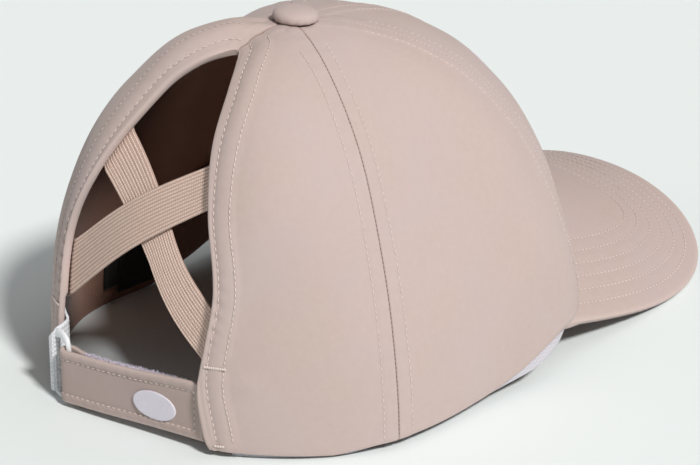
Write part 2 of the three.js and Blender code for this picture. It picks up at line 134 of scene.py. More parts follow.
def newMaterial(name):
    material = bpy.data.materials.new(name)
    material.use_nodes = True
    tree = material.node_tree
    tree.nodes.clear()
    shader = addNode(tree, "ShaderNodeBsdfPrincipled")
    addNode(tree, "ShaderNodeOutputMaterial", inputs={"Surface": shader.outputs[0]})
    return material, tree, shader


def finishShader(tree, shader, tint, height, strength, depth, finish):
    # the patterns for its colour and its relief, and the values that are the same all over
    relief = addNode(tree, "ShaderNodeBump", {},
                     {"Height": height, "Strength": strength, "Distance": depth * mm})
    tree.links.new(relief.outputs[0], shader.inputs["Normal"])
    if tint:
        tree.links.new(tint, shader.inputs["Base Color"])
    for key, value in finish.items():
        shader.inputs[key].default_value = value


floorLook = {"colour": "#e5eced", "half": 4.0}  # m


def makeFloor():
    half = floorLook["half"]
    mesh = bpy.data.meshes.new("floor")
    corners = [(-half, -half, 0), (half, -half, 0), (half, half, 0), (-half, half, 0)]
    mesh.from_pydata(corners, [], [(0, 1, 2, 3)])
    floor = bpy.data.objects.new("floor", mesh)
    bpy.context.scene.collection.objects.link(floor)
    # painted board: even, pale and matt, so only the soft shadow shows on it
    material, tree, shader = newMaterial("painted_board")
    coords = addNode(tree, "ShaderNodeTexCoord").outputs["Object"]
    grain = addNode(tree, "ShaderNodeTexNoise", {}, {"Vector": coords, "Scale": 300.0})
    finishShader(tree, shader, None, grain.outputs[0], 0.02, 1, {
        "Base Color": linear(floorLook["colour"]), "Roughness": 0.9, "Specular IOR Level": 0.1})
    mesh.materials.append(material)


setCamera()
setLight()
makeFloor()
print("camera, light and floor set")

# the head's shape by the same rules as the solids: millimetres, and degrees from the front

shape = {
    "halfLength": 99.4,
    "crownHeight": 121.9,
    "poleBack": 9.4,
    "poleSide": -1.2,
    "fabric": 1.5,
    "sewnGap": 0.5,
    "gap": 0.3,
    "sideSeam": 47.5,
    "backSeam": 116.5,
    "brimEnd": 58.6,
    "brimReach": 65.5,
    "brimHalfWidth": 77.1,
    "brimSquareness": 3.7,
    "brimArch": 103.2,
    "brimFall": 0.232,
    "brimFrontZ": 37.4,
    "brimThick": 2.8,
    "hemExtra": 0.7,
    "hemWidth": 10,
    "openingApex": 0.19,
    "clothAround": 80,  # mm of cloth pattern to a radian round the head
    "clothDown": 165,  # mm of it from the crest to the rim
}
planTable = {"angle": [0, 30, 60, 90, 120, 140, 155, 180],
             "share": [1, 0.958, 0.899, 0.8, 0.878, 0.906, 0.925, 0.937]}
profileTable = {"angle": [0, 60, 110, 150, 180], "power": [2.4, 2.24, 1.92, 2.48, 1.97]}
rimTable = {"angle": [75, 90, 120, 140, 155, 180], "share": [0.21, 0.098, 0.066, -0.039, 0.033, 0.048]}
openingTable = {"down": [0.19, 0.3, 0.45, 0.6, 0.75, 0.9, 1], "half": [0, 13.3, 16.4, 20, 23.4, 21.5, 23.9]}
shiftY = cadBox[0].y / mm + shape["halfLength"] + shape["brimReach"]


def smoothTable(knots, values, at):
    knots, values, at = np.asarray(knots, float), np.asarray(values, float), np.asarray(at, float)
    last = len(knots) - 1
    before = np.maximum(np.arange(last + 1) - 1, 0)
    after = np.minimum(np.arange(last + 1) + 1, last)
    slope = (values[after] - values[before]) / (knots[after] - knots[before])
    i = np.clip(np.searchsorted(knots, at, side="left") - 1, 0, last - 1)
    span = knots[i + 1] - knots[i]
    f = np.clip((at - knots[i]) / span, 0, 1)
    return ((2 * f**3 - 3 * f**2 + 1) * values[i] + (f**3 - 2 * f**2 + f) * span * slope[i]
            + (3 * f**2 - 2 * f**3) * values[i + 1] + (f**3 - f**2) * span * slope[i + 1])


def aroundHead(angles, values, angle):
    # a table that is the same on both sides of the head
    folded = np.abs(angle)
    folded = np.where(folded > 180, 360 - folded, folded)
    knots, heights = list(angles), list(values)
    if knots[0] == 0:
        knots.insert(0, -knots[1])
        heights.insert(0, heights[1])
    knots.append(360 - angles[-2])
    heights.append(values[-2])
    return smoothTable(knots, heights, folded)


def vec(x, y, z):
    return np.stack(np.broadcast_arrays(np.asarray(x, float), y, z), -1)


def unit(v):
    return v / np.maximum(np.linalg.norm(v, axis=-1, keepdims=True), 1e-9)


def footOf(angle):
    turn = np.radians(angle)
    radius = shape["halfLength"] * aroundHead(planTable["angle"], planTable["share"], angle)
    return -radius * np.sin(turn), -radius * np.cos(turn)


def powerOf(angle):
    return aroundHead(profileTable["angle"], profileTable["power"], angle)


def towardsPole(angle, out, z):
    footX, footY = footOf(angle)
    return vec(shape["poleSide"] + (footX - shape["poleSide"]) * out,
               shape["poleBack"] + (footY - shape["poleBack"]) * out, z)


def shellAt(angle, z):
    power = powerOf(angle)
    share = np.clip(z / shape["crownHeight"], 0, 1)
    out = np.sin(np.arccos(share ** (power / 2))) ** (2 / power)
    return towardsPole(angle, out, z)


def brimTop(x, y):
    arch = shape["brimArch"]
    fall = arch - np.sqrt(arch**2 - np.minimum(np.abs(x), arch) ** 2)
    return shape["brimFrontZ"] + shape["brimFall"] * (y + shape["halfLength"]) - fall


def jointHeight(angle):
    z = np.full(np.shape(angle), shape["brimFrontZ"] * 0.6)
    for i in range(4):
        foot = shellAt(angle, z)
        z = brimTop(foot[..., 0], foot[..., 1]) + shape["sewnGap"]
    return z


def rimHeight(angle):
    side = np.abs(np.asarray(angle, float))
    front, end = shape["brimFrontZ"], shape["brimEnd"]
    knots = [end - 8, end] + rimTable["angle"]
    shares = [float(jointHeight(np.array(a))) / front for a in knots[:2]] + rimTable["share"]
    behind = front * aroundHead(knots, shares, side)
    return np.maximum(np.where(side <= end, jointHeight(np.minimum(side, end)), behind), 0)


def shellPoint(angle, down):
    angle, down = np.broadcast_arrays(np.asarray(angle, float), np.asarray(down, float))
    power = powerOf(angle)
    rimShare = rimHeight(angle) / shape["crownHeight"]
    rimTurn = np.pi / 2 - np.arcsin(rimShare ** (power / 2))
    turn = np.maximum(down, 0.0001) * rimTurn
    return towardsPole(angle, np.sin(turn) ** (2 / power),
                       shape["crownHeight"] * np.maximum(np.cos(turn), 0) ** (2 / power))


def shellNormal(angle, down):
    angle, down = np.broadcast_arrays(np.asarray(angle, float), np.asarray(down, float))
    low, high = np.maximum(down - 0.01, 0.004), np.minimum(down + 0.01, 1)
    along = shellPoint(angle + 0.5, down) - shellPoint(angle - 0.5, down)
    across = shellPoint(angle, high) - shellPoint(angle, low)
    normal = unit(np.cross(along, across))
    centre = shellPoint(angle, down) - np.array([0, 0, shape["crownHeight"] * 0.3])
    flip = np.sum(normal * centre, -1) < 0
    return np.where(flip[..., None], -normal, normal)


def insideAt(angle, z, depth):
    angle, z = np.broadcast_arrays(np.asarray(angle, float), np.asarray(z, float))
    along = shellAt(angle + 0.5, z) - shellAt(angle - 0.5, z)
    level = unit(vec(along[..., 1], -along[..., 0], 0))
    point = shellAt(angle, z)
    flip = np.sum(level * point, -1) > 0
    level = np.where(flip[..., None], -level, level)
    return point + level * (np.asarray(depth, float)[..., None] if np.ndim(depth) else depth)


def openingHalf(down):
    apex = shape["openingApex"]
    knots = np.sqrt(np.array(openingTable["down"]) - apex)
    half = smoothTable(knots, openingTable["half"], np.sqrt(np.maximum(np.asarray(down, float) - apex, 0)))
    return np.where(np.asarray(down) <= apex, 0, np.maximum(half, 0))


def downAtHeight(angle, z):
    angle, z = np.broadcast_arrays(np.asarray(angle, float), np.asarray(z, float))
    low, high = np.zeros(angle.shape), np.ones(angle.shape)
    for i in range(24):
        middle = (low + high) / 2
        above = shellPoint(angle, middle)[..., 2] > z
        low, high = np.where(above, middle, low), np.where(above, high, middle)
    return (low + high) / 2


def beneath(angle, z, depth):
    down = downAtHeight(angle, z)
    return shellPoint(angle, down) - shellNormal(angle, down) * depth


def edgeAngle(z, side):
    half = np.full(np.shape(z), 20.0)
    for i in range(10):
        half = openingHalf(downAtHeight(180 - half, z))
    return side * (180 - half)


# mesh making

def walledGrid(outer, inner, bulge, steps):
    # closed wall between two grids, its four edges (u start, u end, v start, v end) rounded out by bulge
    n, m = outer.shape[:2]
    number = np.arange(n * m).reshape(n, m)
    away = np.zeros_like(outer)
    every = slice(None)
    edges = [((0,), (1,)), ((-1,), (-2,)), ((every, 0), (every, 1)), ((every, -1), (every, -2))]
    for side, (at, beyond) in enumerate(edges):
        size = np.asarray(bulge[side], float)
        away[at] += unit(outer[at] - outer[beyond]) * (size[:, None] if size.ndim else size)
    loop = np.concatenate([number[:-1, 0], number[-1, :-1], number[:0:-1, -1], number[0, :0:-1]])
    flatOuter, flatInner, flatAway = outer.reshape(-1, 3), inner.reshape(-1, 3), away.reshape(-1, 3)
    points, source = [flatOuter, flatInner], [np.arange(n * m), np.arange(n * m)]
    rings = [loop]
    for k in range(steps):
        turn = math.pi * (k + 1) / (steps + 1)
        share = (1 + math.cos(turn)) / 2
        rings.append(2 * n * m + k * len(loop) + np.arange(len(loop)))
        points.append(flatInner[loop] + (flatOuter[loop] - flatInner[loop]) * share
                      + flatAway[loop] * math.sin(turn))
        source.append(loop)
    rings.append(loop + n * m)
    a, b, c, d = number[:-1, :-1], number[:-1, 1:], number[1:, 1:], number[1:, :-1]
    quads = [np.stack([a, b, c, d], -1).reshape(-1, 4), np.stack([d, c, b, a], -1).reshape(-1, 4) + n * m]
    for near, far in zip(rings[:-1], rings[1:]):
        quads.append(np.stack([near, np.roll(near, -1), np.roll(far, -1), far], -1))
    return np.concatenate(points), np.concatenate(quads), np.concatenate(source)


def makeMesh(name, points, faces, uv=None, marks=None, material=None):
    points, faces = np.asarray(points, float), np.asarray(faces)
    corners = points[faces]
    fans = [np.cross(corners[:, k], corners[:, k + 1]) for k in range(1, faces.shape[1] - 1)]
    if sum(np.sum(corners[:, 0] * fan) for fan in fans) < 0:  # it would be inside out
        faces = faces[:, ::-1]
    mesh = bpy.data.meshes.new(name)
    mesh.from_pydata(((points + [0, shiftY, 0]) * mm).tolist(), [], faces.tolist())
    if uv is not None:
        index = np.zeros(len(mesh.loops), np.int32)
        mesh.loops.foreach_get("vertex_index", index)
        mesh.uv_layers.new(name="cloth").data.foreach_set("uv", np.asarray(uv, np.float32)[index].ravel())
    for key, values in (marks or {}).items():
        attribute = mesh.attributes.new(key, "FLOAT", "POINT")
        attribute.data.foreach_set("value", np.asarray(values, np.float32).ravel())
    mesh.shade_smooth()
    mesh.update()
    thing = bpy.data.objects.new(name, mesh)
    bpy.context.scene.collection.objects.link(thing)
    if material:
        mesh.materials.append(material)
    return thing


def wallPiece(name, outer, inner, bulge, uv, marks, material, steps, shaded=1.0):
    # shaded is the "inside" attribute of the inner wall: its share of painted shade, or of the facing cloth
    points, faces, source = walledGrid(outer, inner, bulge, steps)
    kept = {key: values.ravel()[source] for key, values in marks.items()}
    size = outer.shape[0] * outer.shape[1]
    innerMark = np.broadcast_to(shaded, outer.shape[:2]).ravel()
    kept["inside"] = np.concatenate([np.zeros(size), innerMark, np.zeros(len(points) - 2 * size)])
    return makeMesh(name, points, faces, uv.reshape(-1, 2)[source], kept, material)


def onCap(thing, slotName, *nodes):
    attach(thing, "root")
    if nodes:
        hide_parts(*nodes)


def lineLength(points):
    steps = np.linalg.norm(np.diff(points, axis=0), axis=1)
    return np.concatenate([[0], np.cumsum(steps)])


def nearestOn(points, line):
    # distance from each point to a line of points, and how far along the line that is
    flat = points.reshape(-1, 3)
    travel = lineLength(line)
    best, along = np.full(len(flat), 1e9), np.zeros(len(flat))
    square = np.sum(line**2, 1)
    closest = np.concatenate([np.argmin(square - 2 * part @ line.T, 1)
                              for part in np.array_split(flat, 12)])
    for back in (1, 0):
        i = np.clip(closest - back, 0, len(line) - 2)
        start, edge = line[i], line[i + 1] - line[i]
        f = np.clip(np.sum((flat - start) * edge, 1) / np.maximum(np.sum(edge**2, 1), 1e-12), 0, 1)
        distance = np.linalg.norm(flat - start - edge * f[:, None], axis=1)
        better = distance < best
        best = np.where(better, distance, best)
        along = np.where(better, travel[i] + f * (travel[i + 1] - travel[i]), along)
    return best.reshape(points.shape[:-1]), along.reshape(points.shape[:-1])


def fade(low, high, at):
    # from 0 at low to 1 at high
    f = np.clip((np.asarray(at, float) - low) / (high - low), 0, 1)
    return f * f * (3 - 2 * f)


def ridge(distance, width):
    # 1 at no distance, and almost nothing at twice the width
    return np.exp(-((distance / width) ** 2))


# materials

scaleAndAdd = {"operation": "MULTIPLY_ADD"}
colourMix = {"data_type": "RGBA"}
yarn = {"twist": 0.6, "wrap": 0.9}  # mm between the thread's twists, and the elastic yarn's loops
twill = {
    "colour": "#bcaba5",
    "shade": "#b3a19a",  # between the threads
    "bloom": "#b9a9ac",  # the dye is a little more lilac in soft patches
    "light": "#cbbab3",  # on worn folds
    "crease": "#8c7870",  # painted shade: down in the seams, at the button's foot, and over all the strap and brim
    "inside": "#ffcdb2",  # painted shade with a warm painted glow of light through the cloth, on the wrong side
    "openingShade": "#84604e",  # deeper painted shade beside the opening, where the lamp would light the wrong side
    "pitch": 0.75,  # mm between twill lines, the real 0.35 is too fine to show
    "mottle": 1.1,  # mm
}


def twillCloth():
    # brushed cotton twill: very fine diagonal lines, matt, with a soft sheen where it turns away
    material, tree, shader = newMaterial("brushed_cotton_twill")
    uv = addNode(tree, "ShaderNodeUVMap", {"uv_map": "cloth"}).outputs[0]
    coords = addNode(tree, "ShaderNodeTexCoord").outputs["Object"]
    lines = addNode(tree, "ShaderNodeTexWave", {"bands_direction": "DIAGONAL"},
                    {"Vector": uv, "Scale": 2 * math.pi / 10 / (twill["pitch"] * math.sqrt(2)),
                     "Distortion": 1.2, "Detail": 2.0, "Detail Scale": 1.5})
    slub = addNode(tree, "ShaderNodeTexNoise", {},
                   {"Vector": coords, "Scale": 1000 / twill["mottle"] / 2, "Detail": 3.0, "Roughness": 0.6})
    cloud = addNode(tree, "ShaderNodeTexNoise", {}, {"Vector": coords, "Scale": 22.0, "Detail": 2.0})
    weave = addNode(tree, "ShaderNodeMath", scaleAndAdd, {0: lines.outputs["Fac"], 1: 0.1, 2: 0.25})
    height = addNode(tree, "ShaderNodeMath", scaleAndAdd,
                     {0: slub.outputs[0], 1: 0.5, 2: weave.outputs[0]})
    cloudy = addNode(tree, "ShaderNodeMath", scaleAndAdd,
                     {0: cloud.outputs[0], 1: 0.25, 2: height.outputs[0]})
    ramp = addNode(tree, "ShaderNodeValToRGB", {}, {"Fac": cloudy.outputs[0]})
    for stop, place, colour in zip(ramp.color_ramp.elements, (0.35, 0.85), ("shade", "colour")):
        stop.position, stop.color = place, linear(twill[colour])
    patches = addNode(tree, "ShaderNodeTexNoise", {}, {"Vector": coords, "Scale": 38.0, "Detail": 3.0})
    bloom = addNode(tree, "ShaderNodeMapRange", {},
                    {0: patches.outputs[0], 1: 0.36, 2: 0.66, 3: 0.0, 4: 0.4})
    paintedShade, worn, inside = [addNode(tree, "ShaderNodeAttribute", {"attribute_name": key}).outputs["Fac"]
                             for key in ("crease", "worn", "inside")]
    # soft lilac patches of dye, then painted shade from its attribute, then paler worn edges
    tint = ramp.outputs[0]
    for share, colour in ((bloom.outputs[0], "bloom"), (paintedShade, "crease"), (worn, "light")):
        over = addNode(tree, "ShaderNodeMix", colourMix, {0: share, 6: tint, 7: linear(twill[colour])})
        tint = over.outputs[2]
    # painted shade and warm painted light on the wrong side, deepest beside the opening
    warm = addNode(tree, "ShaderNodeValToRGB", {}, {"Fac": inside})
    stops = warm.color_ramp.elements
    stops[0].color, stops[1].color = [1, 1, 1, 1], linear(twill["openingShade"])
    stops.new(0.5).color = linear(twill["inside"])
    insideShaded = addNode(tree, "ShaderNodeMix", {"data_type": "RGBA", "blend_type": "MULTIPLY"},
                    {0: 1.0, 6: tint, 7: warm.outputs[0]})
    finishShader(tree, shader, insideShaded.outputs[2], height.outputs[0], 0.07, 0.2, {
        "Roughness": 0.82, "Specular IOR Level": 0.25, "Sheen Weight": 0.12, "Sheen Roughness": 0.5})
    return material


def threadCloth(name, colour, shade):
    # spun polyester thread: rounder and a little glossier than the cloth it lies on, with a fine twist
    material, tree, shader = newMaterial(name)
    coords = addNode(tree, "ShaderNodeTexCoord").outputs["Object"]
    twist = addNode(tree, "ShaderNodeTexWave", {"bands_direction": "DIAGONAL"},
                    {"Vector": coords, "Scale": 2 * math.pi / 10 / (yarn["twist"] * mm), "Distortion": 1.0})
    height = twist.outputs["Fac"]
    tint = addNode(tree, "ShaderNodeMix", colourMix, {0: height, 6: linear(shade), 7: linear(colour)})
    finishShader(tree, shader, tint.outputs[2], height, 0.3, 0.1, {
        "Roughness": 0.55, "Specular IOR Level": 0.35})
    return material


def wovenTape(name, colour, shade, pitchAlong, pitchAcross, roughness, sheen, strength, facing=None):
    # narrow woven tape: crossed threads as a fine basket weave that follows the tape
    material, tree, shader = newMaterial(name)
    uv = addNode(tree, "ShaderNodeUVMap", {"uv_map": "cloth"}).outputs[0]
    along, across = [addNode(tree, "ShaderNodeTexWave", {"bands_direction": way},
                             {"Vector": uv, "Scale": 2 * math.pi / 20 / pitch, "Distortion": 0.6,
                              "Detail": 1.0})
                     for way, pitch in (("X", pitchAlong), ("Y", pitchAcross))]
    weave = addNode(tree, "ShaderNodeMath", {"operation": "MULTIPLY"},
                    {0: along.outputs["Fac"], 1: across.outputs["Fac"]})
    fuzz = addNode(tree, "ShaderNodeTexNoise", {}, {"Vector": uv, "Scale": 1.6, "Detail": 3.0})
    rough = addNode(tree, "ShaderNodeMath", scaleAndAdd, {0: fuzz.outputs[0], 1: 0.5, 2: weave.outputs[0]})
    height = rough.outputs[0]
    tint = addNode(tree, "ShaderNodeMix", colourMix, {0: height, 6: linear(shade), 7: linear(colour)})
    if facing:  # another cloth lines the wrong side, its colour darkened with painted shade
        inside = addNode(tree, "ShaderNodeAttribute", {"attribute_name": "inside"})
        tint = addNode(tree, "ShaderNodeMix", colourMix,
                       {0: inside.outputs["Fac"], 6: tint.outputs[2], 7: linear(facing)})
    finishShader(tree, shader, tint.outputs[2], height, strength, 0.3, {
        "Roughness": roughness, "Specular IOR Level": 0.25, "Sheen Weight": sheen})
    return material


def smoothFilm(name, colour, shade, roughness, speck):
    # moulded or pressed plastic: smooth, faintly uneven, with a broad soft highlight
    material, tree, shader = newMaterial(name)
    coords = addNode(tree, "ShaderNodeTexCoord").outputs["Object"]
    grain = addNode(tree, "ShaderNodeTexNoise", {},
                    {"Vector": coords, "Scale": 1000 / speck, "Detail": 2.0})
    height = grain.outputs[0]
    tint = addNode(tree, "ShaderNodeMix", colourMix, {0: height, 6: linear(shade), 7: linear(colour)})
    finishShader(tree, shader, tint.outputs[2], height, 0.08, 0.2, {"Roughness": roughness, "IOR": 1.49})
    return material


twillMaterial = twillCloth()
threadMaterial = threadCloth("polyester_thread", "#ddd1cb", "#cabbb4")
# dark thread of painted shade, for needle holes and the groove of the back seams
shadeMaterial = threadCloth("shaded_thread", "#7d675e", "#6a554d")
# tapes: colour, shade, mm between threads along and across, roughness, sheen, relief, facing
elasticMaterial = wovenTape("knitted_elastic", "#c9aea1", "#ad9488", 0.8, 0.8, 0.8, 0.1, 0.6)
# the sweatband's wrong side is brown cloth darkened with painted shade of the inside
bandMaterial = wovenTape("wicking_knit", "#c6c5cc", "#b1b0b9", 0.9, 0.9, 0.9, 0.2, 0.4, "#86604f")
webMaterial = wovenTape("nylon_webbing", "#f0f2f5", "#d3d7de", 1.1, 1.3, 0.6, 0.1, 0.8)
pileMaterial = wovenTape("loop_pile", "#e4deea", "#c4bccf", 0.5, 0.5, 1.0, 0.4, 0.8)
ringMaterial = smoothFilm("moulded_acetal", "#f3f5f8", "#e6e9ee", 0.35, 3.0)
patchMaterial = smoothFilm("heat_pressed_film", "#dcd8e2", "#d2cdd9", 0.5, 1.2)
labelMaterial = wovenTape("black_satin_label", "#232120", "#151413", 0.5, 0.5, 0.5, 0.1, 0.3)
print("materials made")

# stitches along a line: a Geometry Nodes tree

stitchBook = {  # mm, and the share of the pitch that shows as thread
    "seam": {"pitch": 2.1, "share": 0.64, "width": 0.4, "height": 0.26, "hole": 0.13},
    "hem": {"pitch": 2.3, "share": 0.7, "width": 0.46, "height": 0.34, "hole": 0.24},
    "hemCord": {"pitch": 1.9, "share": 0.8, "width": 0.5, "height": 0.4, "hole": 0.1},
    "hemFar": {"pitch": 2.1, "share": 0.66, "width": 0.34, "height": 0.2, "hole": 0.22},
    "brim": {"pitch": 2.3, "share": 0.66, "width": 0.44, "height": 0.3, "hole": 0.12},
    "strap": {"pitch": 2.2, "share": 0.66, "width": 0.44, "height": 0.3, "hole": 0.24},
    "join": {"pitch": 1.5, "share": 0.66, "width": 0.28, "height": 0.18, "hole": 0.12},
    "tack": {"pitch": 0.75, "share": 1.3, "width": 1.1, "height": 0.6, "hole": 0.2},
}


def namedInput(tree, name, kind, default=None):
    socket = tree.interface.new_socket(name=name, in_out="INPUT", socket_type=kind)
    if default is not None:
        socket.default_value = default
    return socket.identifier


def stitchTree():
    tree = bpy.data.node_groups.new("stitchesAlongLine", "GeometryNodeTree")
    ids = {"Lines": namedInput(tree, "Lines", "NodeSocketGeometry")}
    for name, value in (("Pitch", 0.0028), ("Length", 0.0018), ("Width", 0.0005), ("Height", 0.0004),
                        ("Hole", 0.0003), ("Wander", 0.08)):
        ids[name] = namedInput(tree, name, "NodeSocketFloat", value)
    ids["Seed"] = namedInput(tree, "Seed", "NodeSocketInt", 7)
    ids["Thread"] = namedInput(tree, "Thread", "NodeSocketMaterial")
    ids["Shadow"] = namedInput(tree, "Shadow", "NodeSocketMaterial")
    tree.interface.new_socket(name="Stitches", in_out="OUTPUT", socket_type="NodeSocketGeometry")
    given = addNode(tree, "NodeGroupInput").outputs
    curve = addNode(tree, "GeometryNodeMeshToCurve", {}, {0: given["Lines"]})
    even = addNode(tree, "GeometryNodeResampleCurve", {"mode": "LENGTH"},
                   {"Curve": curve.outputs[0], "Length": given["Pitch"]})
    ball = addNode(tree, "GeometryNodeMeshUVSphere", {}, {"Segments": 6, "Rings": 5, "Radius": 0.5})
    lying = addNode(tree, "GeometryNodeTransform", {},
                    {"Geometry": ball.outputs[0], "Rotation": (0, math.pi / 2, 0)})
    tangent = addNode(tree, "GeometryNodeInputTangent")
    up = addNode(tree, "GeometryNodeInputNamedAttribute", {"data_type": "FLOAT_VECTOR"}, {"Name": "up"})
    turn = addNode(tree, "FunctionNodeAxesToRotation", {"primary_axis": "X", "secondary_axis": "Z"},
                   {0: tangent.outputs[0], 1: up.outputs[0]})
    least = addNode(tree, "ShaderNodeMath", {"operation": "SUBTRACT"}, {0: 1.0, 1: given["Wander"]})
    most = addNode(tree, "ShaderNodeMath", {"operation": "ADD"}, {0: 1.0, 1: given["Wander"]})
    chance = addNode(tree, "FunctionNodeRandomValue", {"data_type": "FLOAT"},
                     {2: least.outputs[0], 3: most.outputs[0], "Seed": given["Seed"]})
    long = addNode(tree, "ShaderNodeMath", {"operation": "MULTIPLY"},
                   {0: given["Length"], 1: chance.outputs[1]})
    size = addNode(tree, "ShaderNodeCombineXYZ", {},
                   {0: long.outputs[0], 1: given["Width"], 2: given["Height"]})
    placed = addNode(tree, "GeometryNodeInstanceOnPoints", {},
                     {"Points": even.outputs[0], "Instance": lying.outputs[0],
                      "Rotation": turn.outputs[0], "Scale": size.outputs[0]})
    # a dark bead of painted shade for the needle's hole between one stitch and the next
    halfPitch = addNode(tree, "ShaderNodeMath", {"operation": "MULTIPLY"}, {0: given["Pitch"], 1: 0.5})
    ahead = addNode(tree, "ShaderNodeCombineXYZ", {}, {0: halfPitch.outputs[0]})
    flat = addNode(tree, "ShaderNodeMath", {"operation": "MULTIPLY"}, {0: given["Hole"], 1: 0.5})
    holeSize = addNode(tree, "ShaderNodeCombineXYZ", {},
                       {0: given["Hole"], 1: given["Hole"], 2: flat.outputs[0]})
    bead = addNode(tree, "GeometryNodeMeshUVSphere", {}, {"Segments": 5, "Rings": 4, "Radius": 0.5})
    sized = addNode(tree, "GeometryNodeTransform", {},
                    {"Geometry": bead.outputs[0], "Translation": ahead.outputs[0],
                     "Scale": holeSize.outputs[0]})
    holes = addNode(tree, "GeometryNodeInstanceOnPoints", {},
                    {"Points": even.outputs[0], "Instance": sized.outputs[0], "Rotation": turn.outputs[0]})
    parts = []
    for instances, material in ((placed, "Thread"), (holes, "Shadow")):
        real = addNode(tree, "GeometryNodeRealizeInstances", {}, {0: instances.outputs[0]})
        smooth = addNode(tree, "GeometryNodeSetShadeSmooth", {}, {0: real.outputs[0]})
        parts.append(addNode(tree, "GeometryNodeSetMaterial", {},
                             {"Geometry": smooth.outputs[0], "Material": given[material]}))
    joined = addNode(tree, "GeometryNodeJoinGeometry")
    for part in parts:
        tree.links.new(part.outputs[0], joined.inputs[0])
    addNode(tree, "NodeGroupOutput", {}, {0: joined.outputs[0]})
    return tree, ids


stitchNodes, stitchIds = stitchTree()


def grownMesh(name, carrier, tree, values):
    # the tree's result as a plain mesh, and its carrier removed
    modifier = carrier.modifiers.new("nodes", "NODES")
    modifier.node_group = tree
    for identifier, value in values.items():
        modifier[identifier] = value
    bpy.context.view_layer.update()
    evaluated = carrier.evaluated_get(bpy.context.evaluated_depsgraph_get())
    grown = bpy.data.meshes.new_from_object(evaluated)
    grown.name = name
    carrier.modifiers.clear()
    bpy.data.objects.remove(carrier)
    thing = bpy.data.objects.new(name, grown)
    bpy.context.scene.collection.objects.link(thing)
    return thing


def lineCarrier(name, lines, normals=None):
    points, edges, ups, start = [], [], [], 0
    for k, line in enumerate(lines):
        points.append(line)
        ups.append(normals[k] if normals else np.tile([0, 0, 1.0], (len(line), 1)))
        edges += [(start + i, start + i + 1) for i in range(len(line) - 1)]
        start += len(line)
    mesh = bpy.data.meshes.new(name)
    mesh.from_pydata(((np.concatenate(points) + [0, shiftY, 0]) * mm).tolist(), edges, [])
    attribute = mesh.attributes.new("up", "FLOAT_VECTOR", "POINT")
    attribute.data.foreach_set("vector", np.concatenate(ups).astype(np.float32).ravel())
    carrier = bpy.data.objects.new(name, mesh)
    bpy.context.scene.collection.objects.link(carrier)
    return carrier


def sewn(name, lines, normals, kind, material, slotName, seed=7):
    book = stitchBook[kind]
    carrier = lineCarrier(name + "_line", lines, normals)
    thing = grownMesh(name, carrier, stitchNodes, {
        stitchIds["Pitch"]: book["pitch"] * mm,
        stitchIds["Length"]: book["pitch"] * book["share"] * mm,
        stitchIds["Width"]: book["width"] * mm,
        stitchIds["Height"]: book["height"] * mm,
        stitchIds["Hole"]: book["hole"] * mm,
        stitchIds["Wander"]: 0.1,
        stitchIds["Seed"]: seed,
        stitchIds["Thread"]: material,
        stitchIds["Shadow"]: shadeMaterial,
    })
    onCap(thing, slotName)


def stitchPull(along, kind):
    # 1 where the needle went in, 0 between
    return 0.5 + 0.5 * np.cos(2 * np.pi * along / stitchBook[kind]["pitch"])


# crown panels

crown = {
    "rows": 150,  # mesh rows down a panel
    "backRows": 190,
    "topDown": 0.022,  # where the panels start under the button, 0 at the crest and 1 at the rim
    "seamRow": 5.0,  # mm from a seam to its stitch row
    "allowance": 0.3,  # mm that the turned-in edges lift the cloth
    "groove": 0.4,  # mm deep along a seam
    "foldSize": 0.3,  # mm of slow waves
    "rimPull": 0.0045,  # share of the way down that the rounded rim takes
    "hemRows": (2.4, 7.9),  # mm from the opening's edge, low down
    "hemRowsTop": (4.4, 10.8),  # and near its top
    "hemLift": 0.5,
    "gatherHeight": 46,  # mm up where the hem is gathered most
    "tackHeight": 31.5,
    "crestPuff": 2.9,  # mm that the left back panel stands up beside the button
    "crestAt": -150,  # degrees
    "crestWide": 24,
    "frontPuff": 3.8,  # mm that the cloth swells over the ends of the brim
    "frontAt": 53,
    "frontWide": 10,
}


def softFolds(p):
    # slow waves of cloth that nothing stretches quite flat, the same for all that lies on the shell
    x, y, z = p[..., 0], p[..., 1], p[..., 2]
    wave = (np.sin(x / 13 + 1.1 * np.sin(z / 19) + 0.4) * np.sin(z / 15 + y / 27)
            + 0.6 * np.sin(y / 9.5 + z / 21 + 1.7) * np.sin(x / 24 - z / 12 + 0.6)
            + 0.35 * np.sin((x + y) / 6.5 + z / 7.7))
    return crown["foldSize"] * wave * fade(10, 35, np.hypot(x, y - shape["poleBack"]))


def frontSwell(angle, z):
    # the front and side panels bulge over the ends of the brim
    around = ridge(np.abs(angle) - crown["frontAt"], crown["frontWide"])
    return crown["frontPuff"] * around * (1 - fade(24, 62, z))


def crestSwell(angle, down):
    left = ridge(angle - crown["crestAt"], crown["crestWide"])
    return crown["crestPuff"] * left * fade(0.03, 0.11, down) * (1 - fade(0.2, 0.4, down))


def seamRelief(distance, along):
    # how far the turned-in edges raise the cloth, what the stitches pull down, and how much painted shade
    # lies in the seam's groove
    pull = stitchPull(along, "seam")
    raised = crown["allowance"] * (1 - fade(4.3, 6.4, distance))
    dent = 0.14 * ridge(distance - crown["seamRow"], 0.55) * (0.6 + 0.4 * pull)
    groove = crown["groove"] * ridge(distance, 0.26) * (0.7 + 0.3 * pull)
    pucker = 0.06 * np.sin(2 * np.pi * along / 7.3 + 1.3 * np.sin(along / 17)) * ridge(distance - 3, 3.2)
    return raised, pucker - dent - groove, 0.45 * ridge(distance, 0.24)


def hemDistances(height):
    # the two stitch rows of the hem lie closer to the edge low down
    f = fade(72, 108, height)
    return [low + (top - low) * f for low, top in zip(crown["hemRows"], crown["hemRowsTop"])]


